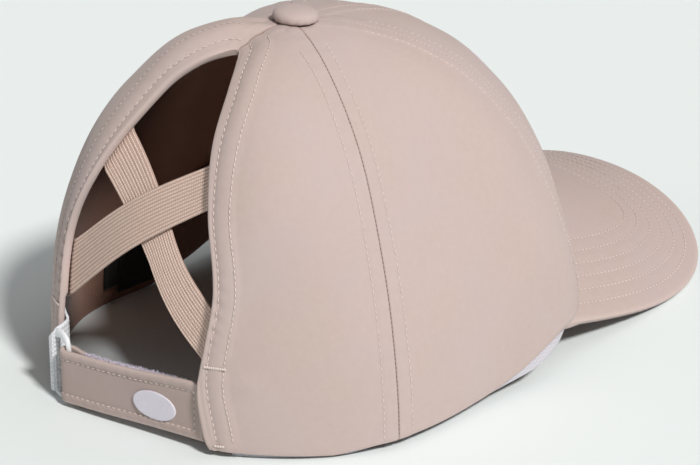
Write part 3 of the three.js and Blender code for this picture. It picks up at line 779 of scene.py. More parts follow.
def hemRelief(distance, along, height):
    first, second = hemDistances(height)
    lift = crown["hemLift"] * (1 - fade(0, 1.5, distance - second))
    lift += 0.22 * ridge(distance - (first + second) / 2, 1.9)
    lift += 0.2 * ridge(distance - first * 0.4, 0.9)
    lift += 0.22 * ridge(distance - second - 0.55, 0.5) * (1 - fade(78, 92, height))
    for row, deep in ((first, 0.34), (second, 0.26)):
        lift -= deep * ridge(distance - row, 0.6) * (0.6 + 0.4 * stitchPull(along, "hem"))
    gathered = ridge(height - crown["gatherHeight"], 13)
    ripple = np.sin(2 * np.pi * along / 4.4 + 1.1 * np.sin(along / 9))
    lift += (0.05 + 0.3 * gathered) * ripple * ridge(distance - first - 0.4, 1.7)
    # the bar tack draws the cloth in beside it
    aboveTack = height - crown["tackHeight"]
    lift -= 0.65 * ridge(aboveTack, 2.8) * ridge(distance - second - 1.6, 1.8)
    lift += 0.4 * ridge(aboveTack + 5, 3.2) * ridge(distance - second - 6, 5)
    return lift


def columnSteps(width):
    # columns close together beside both seams, for their relief
    fine = [0, 0.16, 0.34, 0.6, 1.0, 1.5, 2.1, 2.6, 3.2, 3.8,
            4.4, 5.0, 5.6, 6.3, 7.0, 7.6, 8.3, 9.2, 10.2, 11.4]
    middle = np.linspace(fine[-1], width - fine[-1], int((width - 2 * fine[-1]) / 1.35))
    return np.concatenate([fine, middle[1:-1], width - np.array(fine[::-1])]) / width


def openingLine(side):
    apex = shape["openingApex"]
    down = apex + (1 - apex) * np.linspace(0, 1, 420) ** 1.5
    return shellPoint(side * (180 - openingHalf(down)), down)


def backSeamLine(side):
    return shellPoint(side * 180, np.linspace(crown["topDown"], shape["openingApex"], 60))


def crownPanel(name, side, start, end, isBack):
    top, reachRow, apex = crown["topDown"], 1 - crown["rimPull"], shape["openingApex"]
    if isBack:
        share = np.linspace(0, 1, crown["backRows"] - 27) ** 1.25
        rows = np.concatenate([np.linspace(top, apex, 28)[:-1], apex + (reachRow - apex) * share])
    else:
        rows = np.linspace(top, reachRow, crown["rows"])
    width = float(lineLength(shellPoint(np.linspace(start, end - (20 if isBack else 0), 60), 0.85))[-1])
    u = columnSteps(width)[:, None]
    down = rows[None, :] + 0 * u
    fromPole = shellPoint(side * end, down)[..., :2] - [shape["poleSide"], shape["poleBack"]]
    reach = np.linalg.norm(fromPole, axis=-1)
    last = np.full(down.shape, float(end))
    if isBack:
        corner = np.clip((down - 0.976) / 0.024, 0, 1)
        pulled = 0.8 * fade(apex, apex + 0.07, down) + 3.2 * (1 - np.sqrt(1 - 0.96 * corner**2))
        last = 180 - openingHalf(down) - np.degrees(pulled / reach)
        if side > 0:
            last = last + 1.5 * fade(0.84, 0.97, down)
    angle = side * (start + (last - start) * u)
    base, normal = shellPoint(angle, down), shellNormal(angle, down)
    dA, sA = nearestOn(base, shellPoint(side * start, np.linspace(top * 0.5, 1, 420)))
    raisedA, cutA, markA = seamRelief(dA, sA)
    if isBack:
        dB, sB = nearestOn(base, backSeamLine(side))
        dHem, sHem = nearestOn(base, openingLine(side))
    else:
        dB, sB = nearestOn(base, shellPoint(side * end, np.linspace(top * 0.5, 1, 420)))
    raisedB, cutB, markB = seamRelief(dB, sB)
    lift = np.maximum(raisedA, raisedB)
    worn = 0.35 * fade(0.992, 1.0, down)
    depth = np.full(down.shape, shape["fabric"])
    hemBulge = 0
    if isBack:
        lift = np.maximum(lift, hemRelief(dHem, sHem, base[..., 2]))
        worn = worn + 0.5 * ridge(dHem, 0.9) * fade(apex - 0.02, apex + 0.02, down)
        depth = depth + shape["hemExtra"] * ((dHem < shape["hemWidth"]) & (base[..., 2] > 35))
        hemBulge = 0.75 * fade(apex, apex + 0.07, rows)
    swell = frontSwell(angle, base[..., 2])
    # the wrong side takes painted shade
    shaded = 0.5 + 0 * down
    if side < 0:  # painted shade, deeper beside the opening where the lamp would light the wrong side
        shaded = 0.5 + 0.5 * fade(85, 112, np.abs(angle)) * (1 - fade(84, 96, base[..., 2]))
    outwards = unit(normal * [1, 1, 0])
    folds = softFolds(base) + crestSwell(angle, down)
    outer = base + normal * (lift + cutA + cutB + folds)[..., None] + outwards * swell[..., None]
    inner = base + normal * (folds - depth)[..., None] + outwards * (swell * 0.9)[..., None]
    onBrim = np.abs(angle[:, -1]) < shape["brimEnd"] + 4
    for wall, clear in ((outer, 0.4), (inner, 0)):
        # the lowest cloth follows the brim down
        hang = swell * fade(0.86, 1, down) * 0.75
        wall[..., 2] -= hang
        seat = brimTop(wall[:, -1, 0], wall[:, -1, 1]) + shape["sewnGap"] + clear
        wall[:, -1, 2] = np.where(onBrim, np.maximum(wall[:, -1, 2], seat), wall[:, -1, 2])
    rimBulge = np.where(onBrim, 0.15, 0.6)
    uv = np.stack([np.radians(angle) * shape["clothAround"] + 0 * down, down * shape["clothDown"]], -1)
    # the seams' marks put painted shade down their grooves
    panel = wallPiece(name + "_cloth", outer, inner, (0, hemBulge, 0, rimBulge), uv,
                      {"crease": np.maximum(markA, markB), "worn": worn}, twillMaterial, 4, shaded)
    onCap(panel, "cotton_twill", name)


def seamOffset(seamAngle, offset, downs, sunk=0.0):
    # points beside a seam on the shell, with the surface's own lift
    middle = shellPoint(seamAngle, downs)
    reach = np.hypot(middle[:, 0] - shape["poleSide"], middle[:, 1] - shape["poleBack"])
    angle = seamAngle + np.degrees(offset / reach)
    point, normal = shellPoint(angle, downs), shellNormal(angle, downs)
    raised, cut, _ = seamRelief(np.full(len(downs), abs(offset)), np.zeros(len(downs)))
    raised = raised + cut * (abs(offset) > 1) - sunk
    outwards = unit(normal * [1, 1, 0]) * frontSwell(angle, point[:, 2])[:, None]
    lift = raised + softFolds(point) + crestSwell(angle, downs) + 0.1
    return point + normal * lift[:, None] + outwards, normal


def hemRow(side, row):
    # a row of stitches at its distance from the opening's edge, ending at the seam above it
    apex = shape["openingApex"]
    downs = np.concatenate([np.linspace(apex * 0.4, apex, 50)[:-1],
                            apex + (0.982 - apex) * np.linspace(0, 1, 300) ** 1.2])
    edge = 180 - openingHalf(downs)
    line = openingLine(side)
    low, high = edge.copy(), edge - 60
    for i in range(24):
        middle = (low + high) / 2
        point = shellPoint(side * middle, downs)
        near = nearestOn(point, line)[0] < hemDistances(point[:, 2])[row]
        low, high = np.where(near, middle, low), np.where(near, high, middle)
    angle = (low + high) / 2
    point, up = shellPoint(side * angle, downs), shellNormal(side * angle, downs)
    gap, along = nearestOn(point, line)
    missed = np.abs(gap - hemDistances(point[:, 2])[row])
    keep = (missed < 0.2) & (np.abs(angle - edge) > 0.5)
    lift = hemRelief(gap, along, point[:, 2]) + softFolds(point) + crestSwell(side * angle, downs) + 0.16
    return (point + up * lift[:, None])[keep], up[keep]


def tackLine(side, z, first, last):
    # a short bar of close stitches across the hem
    edge = float(edgeAngle(np.array(z), side))
    reach = float(np.hypot(*shellAt(np.array(edge), z)[:2]))
    angle = edge - side * np.degrees(np.linspace(first, last, 12) / reach)
    down = downAtHeight(angle, z)
    point, up = shellPoint(angle, down), shellNormal(angle, down)
    return point + up * (crown["hemLift"] + softFolds(point) + 0.25)[:, None], up


def rowsOf(parts):
    # the lines and the normals of several rows, apart
    return [line for line, up in parts], [up for line, up in parts]


def makeCrown():
    sideSeam, backSeam, gap = shape["sideSeam"], shape["backSeam"], crown["seamRow"]
    seams = []
    for word, side in (("right", 1), ("left", -1)):
        crownPanel("crown_panel_front_" + word, side, 0, sideSeam, False)
        crownPanel("crown_panel_side_" + word, side, sideSeam, backSeam, False)
        crownPanel("crown_panel_back_" + word, side, backSeam, 180, True)
        seams += [side * sideSeam, side * backSeam]
    rows, ups = rowsOf([seamOffset(seam, offset, np.linspace(0.16, 0.985, 260))
                        for seam in seams + [0] for offset in (-gap, gap)])
    sewn("seam_stitches", rows, ups, "seam", threadMaterial, "cotton_twill", 3)
    # the back seams' joins are dark thread of painted shade, the front ones plain thread
    for name, joined, material in (("seam_joins_back", [-backSeam, backSeam, 180], shadeMaterial),
                                   ("seam_joins_front", [-sideSeam, sideSeam, 0], threadMaterial)):
        ends = [0.185 if seam == 180 else 0.985 for seam in joined]  # the middle one stops at the opening
        rows, ups = rowsOf([seamOffset(seam, 0.001, np.linspace(0.1, end, 260), 0.28)
                            for seam, end in zip(joined, ends)])
        sewn(name, rows, ups, "join", material, "cotton_twill", 5)
    for name, side, row, kind in (("right", 1, 0, "hem"), ("right", 1, 1, "hemCord"),
                                  ("left", -1, 0, "hem"), ("left", -1, 1, "hemFar")):
        line, normals = hemRow(side, row)
        sewn("hem_stitches_%s_%d" % (name, row + 1), [line], [normals], kind, threadMaterial,
             "cotton_twill", 9 + row)
    rows, ups = rowsOf([tackLine(side, z, first, last) for side in (1, -1)
                        for z, first, last in ((crown["tackHeight"], 1.6, 8.4), (4.5, 1.8, 4.4))])
    sewn("bar_tacks", rows, ups, "tack", threadMaterial, "cotton_twill", 21)


makeCrown()
print("crown panels and their stitches made")

# brim

brimLook = {
    "columns": 220,
    "rows": 58,
    "stitchRows": (6.8, 12.1, 17.4, 22.7, 28.1, 33.5),  # mm in from the edge
    "puff": 0.22,  # mm that a stitch row pulls in
    "edgePull": 1.3,  # mm of the reach that the rounded edge takes
}


def brimGrid(u, v):
    angle = (2 * u - 1) * shape["brimEnd"]
    root = insideAt(angle, rimHeight(angle), shape["fabric"])
    corner = insideAt(np.array(shape["brimEnd"]), rimHeight(shape["brimEnd"]), shape["fabric"])
    turn = (2 * u - 1) * np.pi / 2
    power = 2 / shape["brimSquareness"]
    tipY = -(shape["halfLength"] + shape["brimReach"])
    edgeX = -shape["brimHalfWidth"] * np.sign(turn) * np.abs(np.sin(turn)) ** power
    edgeY = corner[1] + (tipY - corner[1]) * np.maximum(np.cos(turn), 0) ** power
    x = root[..., 0] + (edgeX - root[..., 0]) * v
    y = root[..., 1] + (edgeY - root[..., 1]) * v
    return vec(x, y, brimTop(x, y))


def brimNormal(p):
    lean = p[..., 0] / np.sqrt(shape["brimArch"] ** 2 - p[..., 0] ** 2)
    return unit(vec(lean, -shape["brimFall"], np.ones(lean.shape)))


def makeBrim():
    # columns evenly along the outer edge
    fineU = np.linspace(0, 1, 4000)
    travel = lineLength(brimGrid(fineU, 1.0))
    u = np.interp(np.linspace(0, travel[-1], brimLook["columns"]), travel, fineU)[:, None]
    length = np.linalg.norm(brimGrid(u, 1.0) - brimGrid(u, 0.0), axis=-1)
    limit = np.maximum(1 - brimLook["edgePull"] / np.maximum(length, 3), 0.4)
    v = np.linspace(0, 1, brimLook["rows"])[None, :] ** 0.92
    base = brimGrid(u + 0 * v, v * limit)
    normal = brimNormal(base)
    edge = brimGrid(fineU[::4], 1.0)
    gap, along = nearestOn(base, edge)
    lift = 0 * gap
    for row in brimLook["stitchRows"]:
        lift -= brimLook["puff"] * ridge(gap - row, 1.0) * (0.75 + 0.25 * stitchPull(along, "brim"))
    lift += 0.12 * np.sin(base[..., 0] / 9 + base[..., 1] / 14) * np.sin(base[..., 1] / 11)
    outer = base + normal * lift[..., None]
    rootGap = np.linalg.norm(base - base[:, :1], axis=-1)
    square = unit(np.array([0, 0, 1.0]) + (normal - [0, 0, 1.0]) * np.minimum(rootGap / 12, 1)[..., None])
    inner = base - square * shape["brimThick"] + square * (0.5 * lift)[..., None]
    # all the brim takes a little painted shade, and its edge is paler where worn
    brim = wallPiece("brim_covered", outer, inner, (0, 0, 0, 1.25), base[..., :2],
                     {"crease": 0.15 + 0 * gap, "worn": 0.45 * ridge(gap, 1.6)}, twillMaterial, 6, 0.0)
    onCap(brim, "cotton_twill", "brim")
    rows, ups = [], []
    for row in brimLook["stitchRows"]:
        line, normals = [], []
        for i in range(base.shape[0]):
            order = np.maximum.accumulate(gap[i, ::-1])
            if order[-1] < row + 0.3:
                continue
            k = int(np.argmax(order >= row))
            f = (row - order[k - 1]) / max(order[k] - order[k - 1], 1e-6) if k else 0
            j = base.shape[1] - 1 - k
            point = base[i, j] + (base[i, min(j + 1, base.shape[1] - 1)] - base[i, j]) * (1 - f)
            if np.linalg.norm(point - base[i, 0]) > 3:
                line.append(point)
                normals.append(brimNormal(point))
        if len(line) > 4:
            ups.append(np.array(normals))
            rows.append(np.array(line) + ups[-1] * (0.05 - brimLook["puff"] * 0.5))
    sewn("brim_stitches", rows, ups, "brim", threadMaterial, "cotton_twill", 11)


makeBrim()
print("brim made")

# sweatband and labels inside

sweatband = {
    "thick": 1.4,
    "tall": 31,
    "least": 0.6,  # mm that it hangs below the rim anywhere
    "drop": 2.8,  # and on the far side
    "sideDrop": 3.5,  # and behind the brim's ends, where its edge turns out by the flare
    "flare": 3.2,
    "flareAt": 62,  # degrees
    "flareWide": 16,
    "rightEnd": 152,  # degrees
    "leftEnd": 147,
    "floorGap": 0.3,
    "puff": 0.35,
    "rowDown": 4.6,  # mm from its upper edge to the binding's stitches
}
labelBook = {
    "care_label": {"from": -106, "to": -89, "lift": 0.6, "tall": 30, "thick": 0.6},
    "size_tab": {"from": -111, "to": -106.6, "lift": 4, "tall": 12, "thick": 0.6},
}


def makeSweatband():
    depth = shape["fabric"] + shape["sewnGap"]
    angle = np.linspace(-sweatband["leftEnd"], sweatband["rightEnd"], 260)[:, None]
    v = np.linspace(0, 1, 34)[None, :]
    rim = rimHeight(angle)
    least = sweatband["least"]
    beside = ridge(np.abs(angle) - sweatband["flareAt"], sweatband["flareWide"])
    hang = least + np.maximum((sweatband["drop"] - least) * fade(-82, -95, angle),
                              (sweatband["sideDrop"] - least) * beside)
    low = np.maximum(rim - hang, sweatband["floorGap"])
    z = low + (rim + sweatband["tall"] - low) * v
    spread = angle + 0 * v

    def wall(extra):
        flare = sweatband["flare"] * beside * np.clip((rim - z) / 2.5, 0, 1)
        point = insideAt(spread, np.maximum(z, rim), depth + extra - flare)
        return np.concatenate([point[..., :2], z[..., None]], -1)

    fromTop = sweatband["tall"] * (1 - v)
    binding = 0.45 * (1 - fade(4.2, 5.4, fromTop))
    soft = sweatband["puff"] * np.sin(np.pi * v) ** 0.6 + 0.12 * np.sin(angle / 3.1) * np.sin(np.pi * v)
    inner = wall(sweatband["thick"] + binding + soft * (1 - fade(0, 6, 6 - fromTop)) * 0.8)
    uv = np.stack([np.radians(spread) * shape["clothAround"], z], -1)
    # the knit shows bare at the left end
    bare = 1 - fade(sweatband["leftEnd"] - 22, sweatband["leftEnd"] - 8, -spread)
    band = wallPiece("sweatband_cloth_band", wall(0 * z), inner, (0.5, 0.5, 0.35, 0.5), uv, {},
                     bandMaterial, 4, bare)
    onCap(band, "sweatband_cloth", "sweatband")
    angles = np.linspace(-sweatband["leftEnd"] + 1, sweatband["rightEnd"] - 1, 500)
    height = rimHeight(angles) + sweatband["tall"] - sweatband["rowDown"]
    line = insideAt(angles, height, depth + sweatband["thick"] + 0.42)
    up = unit(line - insideAt(angles, height, depth))
    sewn("sweatband_stitches", [line], [up], "seam", bandMaterial, "sweatband_cloth", 13)


def makeLabels():
    for name, size in labelBook.items():
        depth = shape["fabric"] + shape["sewnGap"] + sweatband["thick"] + shape["gap"] + 0.35
        angle = np.linspace(size["from"], size["to"], 26)[:, None]
        v = np.linspace(0, 1, 22)[None, :]
        z = rimHeight(angle) + size["lift"] + size["tall"] * v
        spread = angle + 0 * v
        curl = 0.5 * (1 - fade(0, 0.25, v)) + 0.15 * np.sin(angle * 1.1)
        outer = insideAt(spread, z, depth + curl)
        inner = insideAt(spread, z, depth + size["thick"] + curl)
        uv = np.stack([np.radians(spread) * shape["clothAround"], z], -1)
        piece = wallPiece(name + "_cloth", outer, inner, (0.2, 0.2, 0.2, 0.2), uv, {}, labelMaterial, 2)
        onCap(piece, "black_label", name)


makeSweatband()
makeLabels()
print("sweatband and labels made")

# elastic bands: a woven strip with ribs grown along it

elasticLook = {
    "thick": 1.2,
    "wide": 15.5,
    "bow": 2.6,  # mm that they stand out at their middle
    "tuck": 7,  # mm under each hem
    "apart": 74,  # mm from hem to hem along a band
    "outerRight": (92.8, 80.6),
    "outerLeft": (54.8, 35.4),
    "innerRight": (49.2, 31.6),
    "innerLeft": (93.8, 79.8),
    "slack": (2.2, 1.0),  # mm that the inner one swings up on the right and down on the left
    "ribs": 13,
    "ribRadius": 0.53,
    "body": 0.8,
    "yarn": ("#c1a699", "#ead4c8"),
}
backwards = np.array([0, 0.82, 0.57])  # out of the opening


def elasticPlace(right, left, lift, slack, steps, rows):
    depth = shape["fabric"] + shape["hemExtra"] + shape["gap"]
    spans, tucks = 14, 2
    total = spans + 2 * tucks
    tilt = (right[0] - left[0]) / elasticLook["apart"]
    sideways = np.array([0.508, 0.445, -0.64])  # across the inner band, in the opening's plane
    u = np.linspace(0, 1, steps)
    v = np.asarray(rows, float)
    zRight = right[0] + (right[1] - right[0]) * v
    zLeft = left[0] + (left[1] - left[0]) * v
    startRight, startLeft = edgeAngle(zRight, 1), edgeAngle(zLeft, -1)
    middle = depth + elasticLook["thick"] / 2
    a, b = beneath(startRight, zRight, middle), beneath(startLeft, zLeft, middle)
    grid = np.zeros((steps, len(v), 3))
    for i, share in enumerate(u):
        step = share * total
        if step < tucks or step > total - tucks:
            side = 1 if step < tucks else -1
            fromEnd = step if side > 0 else total - step
            beyond = elasticLook["tuck"] * (1 - fromEnd / tucks)
            z = zRight + tilt * beyond if side > 0 else zLeft - tilt * beyond
            start = startRight if side > 0 else startLeft
            point = shellAt(start, z)
            reach = np.hypot(point[:, 0], point[:, 1])
            grid[i] = beneath(start - side * np.degrees(beyond / reach), z, middle)
        else:
            f = (step - tucks) / spans
            bow = (elasticLook["bow"] + lift) * math.sin(math.pi * f) ** 1.2
            sag = math.sin(2 * math.pi * f) * (slack[0] if f < 0.5 else slack[1])
            grid[i] = a + (b - a) * f + backwards * bow + sideways * sag
    return grid


def ribTree():
    tree = bpy.data.node_groups.new("ribsAlongBand", "GeometryNodeTree")
    ids = {"Lines": namedInput(tree, "Lines", "NodeSocketGeometry"),
           "Radius": namedInput(tree, "Radius", "NodeSocketFloat", 0.0006),
           "Sides": namedInput(tree, "Sides", "NodeSocketInt", 8),
           "Yarn": namedInput(tree, "Yarn", "NodeSocketMaterial")}
    tree.interface.new_socket(name="Ribs", in_out="OUTPUT", socket_type="NodeSocketGeometry")
    given = addNode(tree, "NodeGroupInput").outputs
    curve = addNode(tree, "GeometryNodeMeshToCurve", {}, {0: given["Lines"]})
    travel = addNode(tree, "GeometryNodeSplineParameter")
    kept = addNode(tree, "GeometryNodeStoreNamedAttribute", {"data_type": "FLOAT", "domain": "POINT"},
                   {"Geometry": curve.outputs[0], "Name": "along", "Value": travel.outputs["Length"]})
    circle = addNode(tree, "GeometryNodeCurvePrimitiveCircle", {},
                     {"Resolution": given["Sides"], "Radius": given["Radius"]})
    tube = addNode(tree, "GeometryNodeCurveToMesh", {},
                   {"Curve": kept.outputs[0], "Profile Curve": circle.outputs[0], "Fill Caps": True})
    smooth = addNode(tree, "GeometryNodeSetShadeSmooth", {}, {0: tube.outputs[0]})
    real = addNode(tree, "GeometryNodeRealizeInstances", {}, {0: smooth.outputs[0]})
    dyed = addNode(tree, "GeometryNodeSetMaterial", {},
                   {"Geometry": real.outputs[0], "Material": given["Yarn"]})
    addNode(tree, "NodeGroupOutput", {}, {0: dyed.outputs[0]})
    return tree, ids


ribNodes, ribIds = ribTree()


def elasticYarn():
    # covered rubber yarn: each rib is wrapped across in fine loops, so it looks finely ringed
    material, tree, shader = newMaterial("covered_elastic_yarn")
    along = addNode(tree, "ShaderNodeAttribute", {"attribute_name": "along"})
    turns = addNode(tree, "ShaderNodeMath", {"operation": "MULTIPLY"},
                    {0: along.outputs["Fac"], 1: 2 * math.pi / (yarn["wrap"] * mm)})
    wave = addNode(tree, "ShaderNodeMath", {"operation": "SINE"}, {0: turns.outputs[0]})
    coords = addNode(tree, "ShaderNodeTexCoord").outputs["Object"]
    fuzz = addNode(tree, "ShaderNodeTexNoise", {}, {"Vector": coords, "Scale": 1400.0, "Detail": 2.0})
    loops = addNode(tree, "ShaderNodeMath", scaleAndAdd, {0: wave.outputs[0], 1: 0.3, 2: fuzz.outputs[0]})
    height = loops.outputs[0]
    shade, colour = [linear(tone) for tone in elasticLook["yarn"]]
    tint = addNode(tree, "ShaderNodeMix", colourMix, {0: height, 6: shade, 7: colour})
    finishShader(tree, shader, tint.outputs[2], height, 0.5, 0.2, {
        "Roughness": 0.8, "Specular IOR Level": 0.2})
    return material


def makeElastic(name, right, left, lift, slack):
    ribs = elasticLook["ribs"]
    centre = elasticPlace(right, left, lift, slack, 120, (np.arange(ribs) + 0.5) / ribs)
    carrier = lineCarrier(name + "_lines", [centre[:, k] for k in range(ribs)])
    ribPiece = grownMesh(name + "_ribs", carrier, ribNodes, {
        ribIds["Radius"]: elasticLook["ribRadius"] * mm, ribIds["Sides"]: 8, ribIds["Yarn"]: yarnMaterial})
    onCap(ribPiece, "ribbed_elastic")
    grid = elasticPlace(right, left, lift, slack, 100, np.linspace(0.01, 0.99, 22))
    normal = unit(np.cross(np.gradient(grid, axis=0), np.gradient(grid, axis=1)))
    flip = np.sum(normal * backwards, -1) < 0
    normal = np.where(flip[..., None], -normal, normal)
    half = elasticLook["body"] / 2
    across = np.linspace(0, elasticLook["wide"], 22)
    uv = np.stack(np.meshgrid(lineLength(grid[:, 10]), across, indexing="ij"), -1)
    body = wallPiece(name + "_cloth", grid + normal * half, grid - normal * half, (0, 0, 0.25, 0.25),
                     uv, {}, elasticMaterial, 2)
    onCap(body, "ribbed_elastic", name)


yarnMaterial = elasticYarn()
makeElastic("elastic_band_outer", elasticLook["outerRight"], elasticLook["outerLeft"],
            elasticLook["thick"] + shape["sewnGap"], (0, 0))
makeElastic("elastic_band_inner", elasticLook["innerRight"], elasticLook["innerLeft"],
            0, elasticLook["slack"])
print("elastic bands made")

# strap, pile, webbing and ring

strap = {
    "thick": 1.4,
    "tall": 18.2,
    "leftZ": 2.2,
    "rightZ": 4.4,
    "innerLower": 0.7,  # mm that the layer behind stands lower
    "endRise": 1.4,  # mm that the free end stands higher
    "outer": [(-33, 84.4), (-22, 85.9), (-10.8, 87.6), (9.2, 91), (18, 92.2)],
    "inner": [(18, 88), (7, 86.9), (-10.2, 83.9), (-21.6, 82.2), (-31, 80.5)],
    "stitchIn": 2.8,
    "foldRun": 62,  # mm from the free end back to the row of stitches at the fold
}
ring = {
    "wire": 0.9,  # radius of its bars, and of its broader upper rail
    "rail": 1.6,
    "tall": 25,
    "bend": 2.2,
    "crestBend": 3.8,
    "rightBar": (24.4, 90.2),
    "leftBar": (33.6, 88.2),
}
web = {"thick": 0.9, "rise": 6.5, "plan": [(34.2, 81.8), (32.2, 82.8), (31.1, 84.6), (30.9, 87)]}
pile = {"thick": 0.6, "inset": 0.7, "proud": 0.9, "hairs": 2200, "hairLong": 1.1, "hairWide": 0.11}


def strapLow(x, place=None):
    f = np.clip((x - strap["outer"][0][0]) / (ring["rightBar"][0] - strap["outer"][0][0]), 0, 1)
    return strap["rightZ"] + (strap["leftZ"] - strap["rightZ"]) * f


def planCurve(points, at):
    # centripetal curve through points in plan, the same as the solids follow
    p = np.asarray(points, float)
    p = np.concatenate([[2 * p[0] - p[1]], p, [2 * p[-1] - p[-2]]])
    count = len(points)
    where = np.clip(np.asarray(at, float), 0, 1) * (count - 1)
    i = np.minimum(where.astype(int), count - 2)
    w = (where - i)[:, None]
    x0, x1, x2, x3 = p[i], p[i + 1], p[i + 2], p[i + 3]
    step = [np.maximum(np.sum((b - a) ** 2, 1), 1e-12)[:, None] ** 0.25
            for a, b in ((x0, x1), (x1, x2), (x2, x3))]
    t1 = ((x1 - x0) / step[0] - (x2 - x0) / (step[0] + step[1]) + (x2 - x1) / step[1]) * step[1]
    t2 = ((x2 - x1) / step[1] - (x3 - x1) / (step[1] + step[2]) + (x3 - x2) / step[2]) * step[1]
    return x1 + t1 * w + (-3 * x1 + 3 * x2 - 2 * t1 - t2) * w**2 + (2 * x1 - 2 * x2 + t1 + t2) * w**3


def arcPoints(centre, radius, start, end, steps):
    turn = np.radians(np.linspace(start, end, steps + 1))
    return [(centre[0] + radius * math.cos(a), centre[1] + radius * math.sin(a)) for a in turn]


def evenCurve(points, steps):
    fine = planCurve(points, np.linspace(0, 1, 3000))
    travel = lineLength(fine)
    place = np.interp(np.linspace(0, travel[-1], steps), travel, np.linspace(0, 1, 3000))
    plan = planCurve(points, place)
    tangent = unit(np.gradient(plan, axis=0))
    return plan, tangent, np.linspace(0, travel[-1], steps), place


def strapPoints():
    depth = shape["fabric"] + shape["sewnGap"] + sweatband["thick"] + shape["gap"] + strap["thick"]
    top = strap["rightZ"] + strap["tall"]
    root = [tuple(insideAt(np.array(float(a)), np.array(top), depth)[:2]) for a in (142, 146, 150, 153)]
    fold = arcPoints(ring["rightBar"], ring["wire"] + shape["sewnGap"] + strap["thick"], -88, 98, 6)
    return root + strap["inner"][::-1] + fold + strap["outer"][::-1]


def stripGrid(points, steps, rows, low, tall):
    # an upright strip along a plan curve, low and tall being rules of x and of the place along it
    plan, tangent, travel, place = evenCurve(points, steps)
    v = np.asarray(rows, float)
    z = low(plan[:, 0], place)[:, None] + tall(plan[:, 0], place)[:, None] * v[None, :]
    grid = vec(plan[:, None, 0], plan[:, None, 1], z)
    normal = vec(-tangent[:, None, 1] + 0 * z, tangent[:, None, 0], 0)
    return grid, normal, travel


def edgeRows(tall, fine=(0, 0.3, 0.7, 1.2, 1.8, 2.4, 2.8, 3.2, 3.6, 4.2, 5.0)):
    return np.concatenate([np.array(fine), np.linspace(fine[-1], tall - fine[-1], 10)[1:-1],
                           tall - np.array(fine[::-1])]) / tall


def strapTall(x, place):
    lower = strap["innerLower"] * (1 - fade(0.36, 0.46, place))
    return strap["tall"] - lower + strap["endRise"] * fade(-2, -32, x) * (place > 0.7)


def makeStrap():
    rows, total = edgeRows(strap["tall"]), strap["tall"]
    grid, normal, travel = stripGrid(strapPoints(), 420, rows, strapLow, strapTall)
    height = (rows * total)[None, :] + 0 * travel[:, None]
    ends = np.minimum(travel[:, None], (travel[-1] - travel)[:, None])
    fromEdge = np.minimum(np.minimum(height, total - height), np.where(travel[:, None] > 60, ends, 99))
    along = travel[:, None] + 0 * height
    puff = 0.36 * (1 - fade(2.2, 3.4, fromEdge))
    puff -= 0.3 * ridge(fromEdge - strap["stitchIn"], 0.5) * (0.6 + 0.4 * stitchPull(along, "strap"))
    puff += 0.06 * np.sin(2 * np.pi * along / 4.7) * ridge(fromEdge - 1.8, 1.3)
    puff += 0.16 * np.sin(along / 7 + 0.8) * np.sin(height / 6)
    tuckIn = fade(0, 1.6, fromEdge) - 1
    front = grid - normal * (puff + 0.15 * tuckIn)[..., None]
    back = grid + normal * (strap["thick"] + 0.5 * puff + 0.1 * tuckIn)[..., None]
    # all the strap takes painted shade, and its edges are paler where worn
    marks = {"crease": 0.3 + 0 * height, "worn": 0.5 * ridge(fromEdge, 0.8)}
    piece = wallPiece("closure_strap_cloth", front, back, (0.5, 0.6, 0.45, 0.45),
                      np.stack([along, height], -1), marks, twillMaterial, 4, 0.0)
    onCap(piece, "cotton_twill", "closure_strap")
    # a row of stitches along both edges, and one across at the free end and at the fold
    fine, side, run = stripGrid(strapPoints(), 900, [0, 1], strapLow, strapTall)
    inset, out = strap["stitchIn"], side[:, 0]
    topLine, lowLine = fine[:, 1] - [0, 0, inset], fine[:, 0] + [0, 0, inset]
    keep = (run > 22) & (run < run[-1] - inset)
    lines = [(topLine - out * 0.1)[keep], (lowLine - out * 0.1)[keep]]
    ups = [-out[keep], -out[keep]]
    share = np.linspace(0, 1, 30)[:, None]
    for place in (run[-1] - inset, run[-1] - strap["foldRun"]):
        at = int(np.argmin(np.abs(run - place)))
        lines.append(lowLine[at] + (topLine[at] - lowLine[at]) * share - out[at] * 0.1)
        ups.append(np.tile(-out[at], (30, 1)))
    sewn("strap_stitches", lines, ups, "strap", threadMaterial, "cotton_twill", 17)


